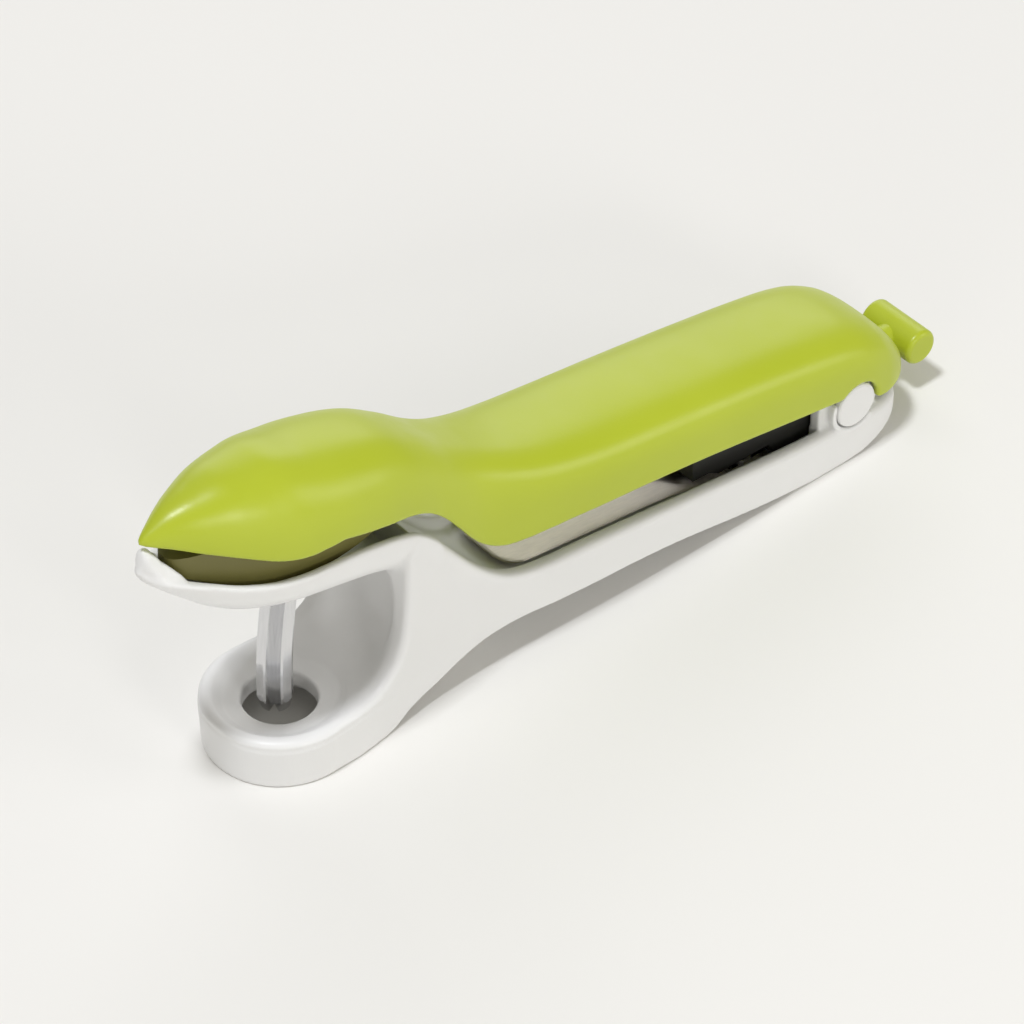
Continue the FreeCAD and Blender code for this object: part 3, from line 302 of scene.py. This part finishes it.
# ------------------------------------------------------------------ upper handle
def upper_field(h):
    W = pchip([(-31.6, 0.5), (-30, 1.7), (-28, 3.0), (-25, 4.9), (-22, 6.7), (-15, 10.2), (-8, 12.7),
               (0, 14.2), (8, 14.6), (16, 14.2), (24, 13.2), (32, 12.5), (40, 12.6), (48, 13.3),
               (60, 14.2), (75, 14.6), (140, 14.6), (147, 14.0), (151, 12.6), (154, 10.2),
               (156, 7.0), (157, 3.4)])
    E = pchip([(-31.6, 67.0), (-23.1, 64.0), (-16.3, 61.2), (-6.8, 57.0), (-1, 56.1), (5.2, 55.9),
               (15.1, 53.7), (25.9, 49.5), (29.2, 47.2), (32.5, 43.9), (36.2, 38.7), (39.9, 33.7),
               (43.4, 31.2), (49.3, 29.2), (68.8, 27.4), (94.9, 24.1), (121.8, 19.7), (134.2, 17.7),
               (142, 14.6), (150, 11.6), (158, 11.6)])
    T = pchip([(-31.6, 67.9), (-29, 69.6), (-25, 71.8), (-20, 73.3), (-13, 74.5), (-5, 74.3),
               (5, 71.7), (14, 69.2), (22, 66.2), (30, 61.0), (38, 54.7), (46, 49.7), (56, 45.6),
               (70, 42.4), (90, 39.3), (110, 36.1), (128, 32.8), (140, 29.8), (147, 26.2),
               (151, 22.7), (154, 18.8), (157, 14.6)])
    N = pchip([(-31.6, 2.1), (-10, 2.3), (10, 2.4), (30, 2.8), (45, 3.8), (60, 4.6), (140, 4.6), (158, 3.6)])
    C = pchip([(-31.6, 0.0), (25, 0.0), (45, 0.9), (60, 1.6), (140, 1.6), (150, 1.0), (158, 0.4)])
    x = np.arange(-33.2, 159.0, h)
    y = np.arange(0, 16.2, h)
    z = np.arange(8.8, 76.2, h)
    X = x[:, None, None].astype(np.float32)
    Y = y[None, :, None].astype(np.float32)
    Z = z[None, None, :].astype(np.float32)
    w, e, t, n, fall = (F(x)[:, None, None].astype(np.float32) for F in (W, E, T, N, C))

    def implicit(inset):
        ww = np.maximum(w - inset, 0.3)
        hh = np.maximum(t - inset - e, 0.3)
        eta = Y / ww
        zeta = np.maximum(Z - e, 0) / (hh - np.minimum(fall, 0.3 * hh) * np.minimum(eta, 1) ** 2)
        return (eta ** n + zeta ** n) ** (1 / n) - 1
    outer = unit(implicit(0.0), h)
    outer = both(outer, np.maximum(-31.9 - X, X - 157.0), 1.2)
    inner = unit(implicit(2.2), h)
    inner = both(inner, np.maximum(-27.0 - X, X - 153.6), 1.0)
    # lower edge of the skirt
    edge = [(-36, 68.9), (-31.1, 66.8), (-27, 65.5), (-22.5, 63.7), (-16, 61.0), (-11, 58.7), (-6.7, 57.0),
            (-2.7, 56.2), (2.2, 56.1)]
    edge2 = [(5.6, 56.2), (10, 54.9), (15.1, 53.4), (21, 51.7), (25.9, 49.6), (29.2, 47.2), (32.5, 43.7), (36.2, 38.7),
             (39.9, 33.9), (43.4, 31.0), (46.0, 29.8), (49.3, 29.1), (58, 28.4), (68.8, 27.4), (94.9, 24.1),
             (121.8, 19.7), (134.4, 17.6)]
    lobe = [(143.0, 13.4), (144.6, 12.7), (147.0, 12.4), (150.6, 12.35), (152.6, 12.5), (154.0, 13.0)]
    q = poly([("S", edge), ("L", [(2.2, 56.1), (5.6, 56.2)]), ("S", edge2),
              ("L", [(134.4, 17.6), (138.2, 13.8), (143.0, 13.4)]), ("S", lobe),
              ("L", [(154.0, 13.0), (175, 13.0), (175, -20), (-50, -20), (-50, 69.0)])])
    below = poly_dist(q, x, z)[:, None, :]
    shell = less(outer, below, 0.55)
    shell = less(shell, inner, 0.45)
    shell = less(shell, cyl_y(X, Y, Z, PX, PZ, 5.55, 9.0, 30), 0.7)
    shell = less(shell, cyl_y(X, Y, Z, 159.3, 10.7, 4.35, -9, 7.9), 0.3)
    shell = less(shell, boxd(X, Y, Z, 150, 159.3, -4.0, 4.0, 4, 15.0), 0.3)
    hull = unit(implicit(1.2), h)
    for px, z0, r in ((106.0, 27.1, 3.2), (126.0, 27.1, 3.2), (-12.0, 61.6, 3.0), (14.5, 61.6, 3.0)):
        post = np.maximum(cyl_z(X, Y, Z, px, 0, r, z0, 90), hull)
        shell = either(shell, post, 0.6)
    for px, z0, d in ((106.0, 27.1, 5.2), (126.0, 27.1, 3.6), (-12.0, 61.6, 4.2), (14.5, 61.6, 4.2)):
        shell = less(shell, cyl_z(X, Y, Z, px, 0, 1.2, z0 - 1, z0 + d), 0.05)
    return mirrored(shell), (x[0], -y[-1], z[0])


# ------------------------------------------------------------------ lower handle
LO_W = [(24, 13.1), (32, 12.6), (40, 12.6), (50, 12.9), (60, 13.3), (75, 13.8), (90, 14.0), (134, 14.0),
        (140, 14.0), (144, 13.7), (147.6, 13.0), (150.2, 12.0), (152.2, 10.3), (153.5, 8.0), (154.1, 5.0)]
RIM = [(-1, 50.6), (6.5, 50.2), (14, 49.0), (20.7, 46.5), (24.5, 44.9), (27.6, 42.4), (30.0, 39.8),
       (32.4, 36.9), (36.0, 32.2), (39.8, 27.6), (43.0, 24.4), (46.0, 22.0), (50, 20.0), (54.7, 18.8),
       (65, 17.8), (80, 16.3), (106.5, 12.9), (131, 10.1), (140, 9.6), (146, 9.2), (150, 8.8), (152.6, 8.2)]


def lower_field(h):
    x = np.arange(-34.4, 156.6, h)
    y = np.arange(0, 17.4, h)
    z = np.arange(-1.4, 67.2, h)
    X = x[:, None, None].astype(np.float32)
    Y = y[None, :, None].astype(np.float32)
    Z = z[None, None, :].astype(np.float32)
    bottom = [(14, 0), (17.5, 0.5), (21, 2.0), (25, 3.2), (29, 4.2), (34, 5.9), (39, 7.5), (46, 8.5),
              (52, 8.3), (59, 7.6), (75, 6.6), (89, 5.4), (104, 2.9), (118, 0.8), (126, 0.0)]
    heel = [(134, 0.0), (139, 0.25), (142.6, 0.8), (146.5, 1.9), (149.8, 3.4), (152.2, 5.2), (154.0, 7.2)]
    crest = [(21.4, 34.5), (21.1, 29.5), (20.7, 25.0), (19.7, 19.8), (17.6, 15.9), (14.0, 12.9), (10.0, 11.7),
             (4, 11.45)]
    rim = [p for p in RIM if p[0] >= 24]
    side = poly([("L", [(-15.9, 11.45), (-15.9, 0), (14, 0)]), ("S", bottom), ("L", [(126, 0), (134, 0)]),
                 ("S", heel), ("L", [(154.0, 7.2), (152.6, 8.2)]), ("S", rim[::-1]),
                 ("L", [(24.5, 44.9), (21.4, 41.0), (21.4, 34.5)]), ("S", crest), ("L", [(4, 11.45), (-15.9, 11.45)])])
    sxz = poly_dist(side, x, z)[:, None, :]
    a0 = math.radians(90 - 7.3)
    arc = [(15.83 * math.cos(a0 + (2 * math.pi - 2 * a0) * k / 48), 15.83 * math.sin(a0 + (2 * math.pi - 2 * a0) * k / 48))
           for k in range(49)]
    half = [arc[0], (10, 15.0), (15, 14.35), (20, 13.6)] + LO_W
    tail = [(154.1, 5.0), (154.3, 2.5), (154.35, 0), (154.3, -2.5), (154.1, -5.0)]
    plan = poly([("S", half), ("S", tail), ("S", [(a, -b) for a, b in half][::-1]), ("L", arc[::-1])])
    sxy = poly_dist(plan, x, y)[:, :, None]
    lean = 0.55 * (1 - np.clip(Z, 0, 11.6) / 11.6) * smooth(-X, -8.0, 0.0)
    sxy = sxy + lean
    low = pchip([(-16, 0), (14, 0), (25, 3.2), (46, 8.5), (75, 6.6), (104, 2.9), (126, 0), (139, 0.2), (154, 7)])(x)
    rad = (0.55 + 1.15 * smooth(Z - low[:, None, None].astype(np.float32), 1.0, 4.0)).astype(np.float32)
    body = both(sxz, sxy, rad)
    # scoop and dish in one bowl of ellipses
    zs = [9.3, 9.62, 9.95, 10.4, 10.9, 11.6, 12.6, 14.5, 17, 20, 24, 29, 34, 40]
    xc = pchip(list(zip(zs, [0.0, 0.0, 0.1, 0.3, 0.6, 1.4, 3.0, 6.0, 8.6, 10.4, 12.0, 12.4, 12.0, 11.0])))(z)
    ea = pchip(list(zip(zs, [5.5, 8.6, 10.8, 12.1, 12.9, 13.9, 14.9, 15.5, 15.4, 14.8, 14.0, 13.2, 12.0, 10.8])))(z)
    eb = pchip(list(zip(zs, [5.5, 8.4, 10.4, 11.6, 12.2, 12.7, 12.7, 12.3, 12.0, 11.8, 11.5, 11.3, 11.0, 10.4])))(z)
    xc, ea, eb = (v[None, None, :].astype(np.float32) for v in (xc, ea, eb))
    k = np.sqrt(((X - xc) / ea) ** 2 + (Y / eb) ** 2) - 1
    scoop = unit(k * 6, h)
    scoop = np.maximum(scoop, 9.5 - Z)
    scoop = both(scoop, Z - 44.0, 0.5)
    body = less(body, scoop, 1.25)
    # beak
    BW = pchip([(-32.4, 0.4), (-31.4, 1.4), (-30, 3.0), (-29, 4.0), (-27.5, 5.2), (-25, 6.5), (-20, 8.4), (-14, 10.8), (-7, 12.6),
                (0, 13.7), (8, 13.9), (17, 13.4), (24, 12.9), (31, 12.55)])(x)[:, None, None].astype(np.float32)
    BR = pchip([(-32.4, 60.9), (-31.4, 59.8), (-29, 58.8), (-25, 57.4), (-20, 55.4), (-14, 53.2), (-7, 51.5),
                (0, 50.9), (8, 50.1), (17, 47.9), (24, 45.3), (31, 38.6)])(x)[:, None, None].astype(np.float32)
    BB = pchip([(-32.4, 60.2), (-31.4, 58.5), (-29, 55.8), (-25, 52.0), (-20, 47.4), (-14, 43.9), (-7, 41.6),
                (0, 40.0), (8, 38.1), (17, 35.3), (24, 31.7), (31, 27.0)])(x)[:, None, None].astype(np.float32)
    nb = np.float32(2.35)

    land = pchip([(-32.4, 4.6), (-29.5, 4.4), (-28, 4.1), (-26.4, 3.6), (-24.5, 2.8), (-22, 2.3), (-17, 1.9),
                  (31, 1.9)])(x)[:, None, None].astype(np.float32)

    def hull(inset, lift):
        ww = np.maximum(BW - inset, 0.25)
        hh = np.maximum(BR - BB - lift, 0.25)
        return ((Y / ww) ** nb + (np.maximum(BR - Z, 0) / hh) ** nb) ** (1 / nb) - 1
    outer = unit(hull(0, 0), h)
    slope = np.gradient(BR[:, 0, 0], h)[:, None, None]
    top = (Z - BR) / np.sqrt(1 + slope * slope)
    beak = both(outer, top, 0.7)
    beak = both(beak, np.maximum(-32.4 - X, X - 31.0), 1.0)
    inner = unit(hull(land, 2.1), h)
    inner = both(inner, np.maximum(-29.5 - X, X - 27.6), 0.7)
    # raised nose at the tip
    q = poly([("S", [(5.4, 57.0), (3.9, 59.4), (2.9, 61.2), (2.0, 63.1), (1.2, 64.7), (0.0, 65.6)]),
              ("L", [(0.0, 65.6), (-6.0, 65.6), (-6.0, 57.0), (5.4, 57.0)])])
    nose = poly_dist(q, y, z)[None, :, :]
    q = poly([("L", [(-32.4, 60.3), (-31.1, 65.9), (-30.0, 65.6), (-27.6, 62.0), (-24.6, 58.4), (-24.6, 56.6),
                     (-28.4, 57.6), (-30.2, 58.0), (-31.3, 59.1), (-32.4, 60.3)])])
    nose = both(nose, poly_dist(q, x, z)[:, None, :], 0.7)
    q = poly([("L", [(-32.45, -0.3), (-31.4, -1.5), (-29, -4.1), (-24.6, -6.6), (-24.6, 6.6), (-29, 4.1), (-31.4, 1.5),
                     (-32.45, 0.3), (-32.45, -0.3)])])
    nose = both(nose, poly_dist(q, x, y)[:, :, None], 0.6)
    beak = either(beak, nose, 1.2)
    rj = (0.25 + 1.3 * smooth(46.0 - Z, 4.0, 10.0)).astype(np.float32)
    body = either(body, beak, rj)
    body = less(body, inner, 0.7)
    # channel along spine and handle
    deck = [(23.5, 42.6), (26.4, 40.6), (29.6, 36.9), (36.9, 27.7), (41.0, 23.2), (45.2, 19.3), (50, 17.0),
            (60, 15.2), (80, 12.6), (93, 10.7), (99, 9.3), (104, 7.1), (108.2, 5.45)]
    q = poly([("S", deck), ("L", [deck[-1], (133.5, 5.45), (148, 5.0), (165, 5.0), (165, 90), (23.5, 90), deck[0]])])
    chan = poly_dist(q, x, z)[:, None, :]
    rw = 3.2
    inn = [(22.0, 10.2), (32, 12.6 - rw + 0.3), (40, 12.6 - rw), (50, 12.9 - rw), (60, 13.3 - rw),
           (75, 13.8 - rw), (90, 14.0 - rw), (129.9, 14.0 - rw)]
    cp = poly([("S", inn), ("L", [inn[-1], (129.9, -inn[-1][1])]), ("S", [(a, -b) for a, b in inn][::-1]),
               ("L", [(inn[0][0], -inn[0][1]), inn[0]])])
    cplan = poly_dist(cp, x, y)[:, :, None]
    cut = both(chan, cplan, 0.9)
    body = less(body, cut, 0.75)
    ears_gap = np.maximum(chan, boxd(X, Y, Z, 128.0, 151.2, -8.9, 8.9, 0, 60))
    body = less(body, ears_gap, 0.4)
    body = less(body, boxd(X, Y, Z, 148.6, 160, -5.0, 5.0, -3, 40), 0.5)
    # hollow underside
    ww = 2.3
    under = [(50, 12.9 - ww), (60, 13.3 - ww), (75, 13.8 - ww), (90, 14.0 - ww), (134, 14.0 - ww), (140, 13.9 - ww),
             (145, 13.3 - ww)]
    up = poly([("S", under), ("L", [under[-1], (145, -under[-1][1])]), ("S", [(a, -b) for a, b in under][::-1]),
               ("L", [(50, -under[0][1]), under[0]])])
    uplan = poly_dist(up, x, y)[:, :, None]
    ceil = [(50, 14.4), (60, 12.9), (80, 10.3), (93, 8.4), (99, 6.9), (104, 4.8), (108.2, 3.2)]
    uq = poly([("S", ceil), ("L", [ceil[-1], (145, 3.0), (145, -9), (50, -9), (50, 14.4)])])
    hollow = both(poly_dist(uq, x, z)[:, None, :], uplan, 0.6)
    for rx in (68, 88, 107.5):
        hollow = less(hollow, np.abs(X - rx) - 0.8, 0.3)
    body = less(body, hollow, 0.35)
    # seat: hollow foot and stone hole
    body = less(body, cyl_z(X, Y, Z, 0, 0, 12.6, -9, 5.6), 0.4)
    body = less(body, cyl_z(X, Y, Z, 0, 0, 7.4, 1, 20), 0.35)
    body = less(body, cyl_z(X, Y, Z, 0.8, 0, 4.8, 30, 44.5), 0.3)
    # ears, bosses, counterbores, hinge bore
    ear = cyl_y(X, Y, Z, PX, PZ, 8.2, 9.0, 11.7)
    ear = np.minimum(ear, boxd(X, Y, Z, 130.0, 145.6, 9.0, 11.7, 4.0, 13.8))
    body = either(body, ear, 0.5)
    boss = cyl_y(X, Y, Z, PX, PZ, 6.5, 11.0, 13.9)
    q = poly([("L", [(131.2, 17.4), (145.2, 8.0), (145.2, 4.0), (131.2, 4.0)])])
    boss = both(boss, poly_dist(q, x, z)[:, None, :], 0.4)
    body = either(body, boss, 0.5)
    body = less(body, cyl_y(X, Y, Z, PX, PZ, 5.35, 12.0, 30), 0.25)
    body = less(body, cyl_y(X, Y, Z, PX, PZ, 2.03, -9, 30), 0.05)
    # slot for the lock tongue, screw bosses under the deck
    body = less(body, boxd(X, Y, Z, 122.6, 135.6, -4.0, 4.0, -3, 9), 0.3)
    body = either(body, cyl_z(X, Y, Z, 115.5, 4.2, 2.6, 1.4, 5.3), 0.3)
    body = less(body, cyl_z(X, Y, Z, 115.5, 4.2, 1.15, 1.0, 12), 0.05)
    body = np.maximum(body, -(Z + 0.0))
    return mirrored(body), (x[0], -y[-1], z[0])


H = 0.42


def make_upper():
    f, org = upper_field(H)
    v, q = surface(f, org, H)
    return mesh_object("lever_shell", v, q)


def make_lower():
    f, org = lower_field(H)
    v, q = surface(f, org, H)
    v[:, 2] = np.maximum(v[:, 2], 0.0)
    return mesh_object("base_handle", v, q)


# ------------------------------------------------------------------ materials
def material(name):
    m = bpy.data.materials.new(name)
    m.use_nodes = True
    nt = m.node_tree
    for n in list(nt.nodes):
        nt.nodes.remove(n)
    out = nt.nodes.new("ShaderNodeOutputMaterial")
    b = nt.nodes.new("ShaderNodeBsdfPrincipled")
    nt.links.new(b.outputs["BSDF"], out.inputs["Surface"])
    return m, nt, b


def node(nt, kind, **kw):
    n = nt.nodes.new(kind)
    for k, v in kw.items():
        if k in n.inputs:
            n.inputs[k].default_value = v
        else:
            setattr(n, k, v)
    return n


def coords(nt, scale=(1, 1, 1)):
    tc = nt.nodes.new("ShaderNodeTexCoord")
    mp = nt.nodes.new("ShaderNodeMapping")
    mp.inputs["Scale"].default_value = scale
    nt.links.new(tc.outputs["Object"], mp.inputs["Vector"])
    return mp.outputs["Vector"]


def noise(nt, vec, scale, detail=3.0, rough=0.5):
    n = node(nt, "ShaderNodeTexNoise", Scale=scale, Detail=detail, Roughness=rough)
    nt.links.new(vec, n.inputs["Vector"])
    return n.outputs["Fac"]


def ramp(nt, fac, a, b, c0, c1):
    r = nt.nodes.new("ShaderNodeMapRange")
    r.inputs["From Min"].default_value = a
    r.inputs["From Max"].default_value = b
    r.inputs["To Min"].default_value = c0
    r.inputs["To Max"].default_value = c1
    nt.links.new(fac, r.inputs["Value"])
    return r.outputs["Result"]


def mix(nt, fac, a, b):
    m = nt.nodes.new("ShaderNodeMix")
    m.data_type = "RGBA"
    if isinstance(fac, float):
        m.inputs["Factor"].default_value = fac
    else:
        nt.links.new(fac, m.inputs["Factor"])
    for s, v in (("A", a), ("B", b)):
        sock = [i for i in m.inputs if i.name == s and i.type == "RGBA"][0]
        if isinstance(v, tuple):
            sock.default_value = (*v, 1)
        else:
            nt.links.new(v, sock)
    return [o for o in m.outputs if o.type == "RGBA"][0]


def bump(nt, b, height, strength, dist):
    n = node(nt, "ShaderNodeBump", Strength=strength, Distance=dist)
    nt.links.new(height, n.inputs["Height"])
    nt.links.new(n.outputs["Normal"], b.inputs["Normal"])


def moulded(name, dark, light, rough, sub=0.0, grain=0.00006, spec=0.5, sub_r=(1, 1, 0.4)):
    """Moulded plastic: slow colour drift, fine satin grain, handling scuffs in the gloss."""
    m, nt, b = material(name)
    v = coords(nt)
    slow = noise(nt, v, 28.0, 2.0)
    col = mix(nt, ramp(nt, slow, 0.3, 0.7, 0.0, 1.0), dark, light)
    nt.links.new(col, b.inputs["Base Color"])
    scuff = noise(nt, v, 160.0, 5.0, 0.65)
    nt.links.new(ramp(nt, scuff, 0.25, 0.75, rough - 0.05, rough + 0.06), b.inputs["Roughness"])
    fine = noise(nt, v, 2600.0, 2.0, 0.6)
    bump(nt, b, fine, 0.25, grain)
    b.inputs["IOR"].default_value = 1.5
    b.inputs["Specular IOR Level"].default_value = spec
    if sub:
        b.inputs["Subsurface Weight"].default_value = sub
        b.inputs["Subsurface Radius"].default_value = sub_r
        b.inputs["Subsurface Scale"].default_value = 0.002
    return m


def steel(name, base, rough, along=(1, 1, 1), streak=900.0, relief=0.00002, metal=1.0):
    """Ground steel: streaks along one way over a polished surface."""
    m, nt, b = material(name)
    v = coords(nt, along)
    s = noise(nt, v, streak, 4.0, 0.7)
    col = mix(nt, ramp(nt, s, 0.3, 0.7, 0.0, 1.0), tuple(c * 0.9 for c in base), base)
    nt.links.new(col, b.inputs["Base Color"])
    b.inputs["Metallic"].default_value = metal
    nt.links.new(ramp(nt, s, 0.25, 0.75, max(rough - 0.06, 0.02), rough + 0.08), b.inputs["Roughness"])
    bump(nt, b, s, 0.25, relief)
    return m


GREEN = moulded("green_plastic", (0.425, 0.497, 0.022), (0.450, 0.523, 0.029), 0.35)
# Painted shade: the punch mount gets a dark olive base, much darker than the green lever, so the gap under the head
# reads as deep shade.
MOUNT_PAINTED_SHADE = moulded("olive_plastic", (0.150, 0.138, 0.036), (0.175, 0.160, 0.045), 0.5)
WHITE = moulded("white_plastic", (0.775, 0.775, 0.768), (0.80, 0.80, 0.793), 0.42, sub=0.06, sub_r=(1, 1, 0.95))
DISC = moulded("white_button", (0.785, 0.785, 0.778), (0.805, 0.805, 0.798), 0.32)
DARK = moulded("dark_plastic", (0.012, 0.012, 0.011), (0.018, 0.018, 0.016), 0.5)
PUNCH = steel("punch_steel", (0.74, 0.74, 0.75), 0.12, along=(1, 1, 0.03), streak=1500.0)
SPRING = steel("spring_steel", (0.96, 0.91, 0.84), 0.56, along=(0.04, 1, 1), streak=1800.0, relief=0.00002)
LEAF = steel("leaf_steel", (0.60, 0.58, 0.55), 0.3, along=(0.04, 1, 1), streak=1500.0)


def brushed(mat, uv):
    """Brushed lengthwise: the gloss spreads across the strip, not along it."""
    nt = mat.node_tree
    b = [n for n in nt.nodes if n.type == "BSDF_PRINCIPLED"][0]
    b.inputs["Anisotropic"].default_value = 1.0
    b.inputs["Anisotropic Rotation"].default_value = 0.25
    t = nt.nodes.new("ShaderNodeTangent")
    t.direction_type = "UV_MAP"
    t.uv_map = uv
    nt.links.new(t.outputs["Tangent"], b.inputs["Tangent"])


brushed(SPRING, "length")

PLAIN = steel("pin_steel", (0.56, 0.56, 0.56), 0.25, along=(1, 0.05, 1), streak=1200.0)
SCREW = steel("screw_steel", (0.52, 0.52, 0.52), 0.3)


def dress(name, mat, bevel=0.0, seg=2):
    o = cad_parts[name]
    o.data.materials.clear()
    o.data.materials.append(mat)
    for p in o.data.polygons:
        p.use_smooth = True
    if bevel:
        b = o.modifiers.new("edge", "BEVEL")
        b.width = bevel * MM
        b.segments = seg
        b.limit_method = "ANGLE"
        b.angle_limit = math.radians(38)
        b.harden_normals = False
    return o


for n, mt, bv in (("lever_core", DARK, 0.25), ("punch", PUNCH, 0.12), ("punch_mount", MOUNT_PAINTED_SHADE, 0.3),
                  ("punch_pin", PLAIN, 0.1), ("pivot_pin", PLAIN, 0.1), ("pivot_cap_near", DISC, 0.1),
                  ("pivot_cap_far", DISC, 0.1), ("mount_screws", SCREW, 0.06), ("core_screws", SCREW, 0.06),
                  ("spring_clamp", PLAIN, 0.12), ("spring_screws", SCREW, 0.06), ("pull_bar", GREEN, 0.3),
                  ("lock_tongue", PLAIN, 0.12), ("tongue_pin", PLAIN, 0.08), ("detent_leaf", LEAF, 0.05)):
    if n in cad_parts:
        dress(n, mt, bv)

shell = make_upper()
shell.data.materials.append(GREEN)
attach(shell, "lever")
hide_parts("upper_handle")

base = make_lower()
base.data.materials.append(WHITE)
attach(base, "lower")
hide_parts("lower_handle")


def make_strip():
    """Leaf spring: cambered strip with a round free end and eased edges."""
    low = curve([(50.6, 18.05), (56, 17.15), (62, 16.3), (70, 15.2), (80, 13.9), (88, 12.8), (94, 11.7), (99, 10.2),
                 (103, 8.4), (106, 6.8), (108.4, 5.8), (110.4, 5.5)], 0.6)
    low = np.concatenate([low, [(x, 5.5) for x in np.arange(111.2, 121.3, 1.0)]])
    d = np.gradient(low, axis=0)
    nrm = np.stack([-d[:, 1], d[:, 0]], 1) / np.hypot(d[:, 0], d[:, 1])[:, None]
    th, r, ring, verts = 0.7, 4.6, [], []
    for (x, z), (nx, nz) in zip(low, nrm):
        u = min(max(x - 50.6, 0.02), r)
        hw = 8.4 - r + math.sqrt(max(r * r - (r - u) ** 2, 0.0))
        ys = [-hw, -hw + 0.12, -hw + 0.3] + [hw * k / 5 for k in (-4, -2, 0, 2, 4)] + [hw - 0.3, hw - 0.12, hw]
        up = [0.5, 0.86, 1.0] + [1.0] * 5 + [1.0, 0.86, 0.5]
        loop = [(x + nx * th * k, y, z + nz * th * k) for y, k in zip(ys, up)]
        loop += [(x + nx * th * (1 - k), y, z + nz * th * (1 - k)) for y, k in list(zip(ys, up))[-2:0:-1]]
        ring.append(range(len(verts), len(verts) + len(loop)))
        verts += loop
    quads = []
    for a, b in zip(ring[:-1], ring[1:]):
        n = len(a)
        for k in range(n):
            quads.append((a[k], b[k], b[(k + 1) % n], a[(k + 1) % n]))
    n = len(ring[0])
    for lp, flip in ((ring[0], False), (ring[-1], True)):
        for k in range(n // 2 - 1):
            f = (lp[k], lp[k + 1], lp[n - k - 1], lp[(n - k) % n])
            if k:
                quads.append(f[::-1] if flip else f)
    o = mesh_object("spring_strip", verts, quads)
    bm = bmesh.new()
    bm.from_mesh(o.data)
    bmesh.ops.holes_fill(bm, edges=[e for e in bm.edges if e.is_boundary], sides=0)
    bmesh.ops.recalc_face_normals(bm, faces=bm.faces)
    uv = bm.loops.layers.uv.new("length")
    for f in bm.faces:
        for lp in f.loops:
            lp[uv].uv = (lp.vert.co.x * 12.0 + 0.5, lp.vert.co.y * 12.0 + 0.5)
    bm.to_mesh(o.data)
    bm.free()
    return o


strip = make_strip()
strip.data.materials.append(SPRING)
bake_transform(strip)
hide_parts("leaf_spring")

# ------------------------------------------------------------------ stage
def stage():
    s = 6.0
    me = bpy.data.meshes.new("floor")
    bm = bmesh.new()
    g = [[bm.verts.new((-s + 2 * s * i / 8, -s + 2 * s * j / 8, 0)) for j in range(9)] for i in range(9)]
    for i in range(8):
        for j in range(8):
            bm.faces.new((g[i][j], g[i + 1][j], g[i + 1][j + 1], g[i][j + 1]))
    bm.to_mesh(me)
    bm.free()
    o = bpy.data.objects.new("floor", me)
    bpy.context.scene.collection.objects.link(o)
    m, nt, b = material("paper")
    v = coords(nt)
    s1 = noise(nt, v, 900.0, 3.0)
    s2 = noise(nt, v, 2.0, 2.0)
    c = mix(nt, ramp(nt, s2, 0.3, 0.7, 0.0, 1.0), (0.815, 0.805, 0.775), (0.83, 0.82, 0.79))
    nt.links.new(c, b.inputs["Base Color"])
    b.inputs["Roughness"].default_value = 0.75
    bump(nt, b, s1, 0.08, 0.0001)
    o.data.materials.append(m)


stage()


def lamp(name, loc, target, size, power, colour=(1, 1, 1), size_y=None):
    d = bpy.data.lights.new(name, "AREA")
    d.energy = power
    d.color = colour
    d.shape = "RECTANGLE" if size_y else "SQUARE"
    d.size = size
    if size_y:
        d.size_y = size_y
    o = bpy.data.objects.new(name, d)
    bpy.context.scene.collection.objects.link(o)
    o.location = loc
    o.rotation_mode = "QUATERNION"
    o.rotation_quaternion = (Vector(target) - Vector(loc)).to_track_quat("-Z", "Y")
    return o


lamp("overhead", (-0.86, -0.09, 3.0), (0.0, 0.0, 0.0), 0.40, 57.0, (0.93, 0.95, 1.0))
lamp("far_backdrop", (0.84, 1.06, 0.66), (0.0, 0.0, 0.0), 1.4, 6.6, (0.98, 0.985, 1.0), 0.85)
lamp("near_fill", (-0.14, -1.15, 0.42), (-0.05, 0.0, 0.03), 0.34, 3.1, (1.0, 0.99, 0.97), 0.24)
lamp("right_fill", (0.76, -0.86, 0.40), (0.0, 0.0, 0.01), 0.55, 2.6, (1.0, 0.99, 0.97), 0.40)
lamp("left_fill", (-1.15, -0.55, 0.40), (0.0, 0.0, 0.03), 0.6, 1.6, (1.0, 0.99, 0.97))

w = bpy.data.worlds.new("room")
bpy.context.scene.world = w
w.use_nodes = True
bg = w.node_tree.nodes["Background"]
bg.inputs["Color"].default_value = (1.0, 0.955, 0.86, 1)
bg.inputs["Strength"].default_value = 0.29
bpy.context.scene.view_settings.view_transform = "Standard"

# ------------------------------------------------------------------ camera
az, el = -0.7165516, 0.7277500
back = Vector((math.sin(az) * math.cos(el), -math.cos(az) * math.cos(el), math.sin(el)))
cam = bpy.data.cameras.new("camera")
cam.lens = 6443.694 / 1024 * 36
cam.sensor_width = 36
cam.clip_start, cam.clip_end = 0.05, 60
co = bpy.data.objects.new("camera", cam)
bpy.context.scene.collection.objects.link(co)
co.location = Vector((-554.92563 - OFF, -704.76764, 854.90012)) * MM
co.rotation_mode = "QUATERNION"
co.rotation_quaternion = (-back).to_track_quat("-Z", "Y")
bpy.context.scene.camera = co

bpy.context.view_layer.update()
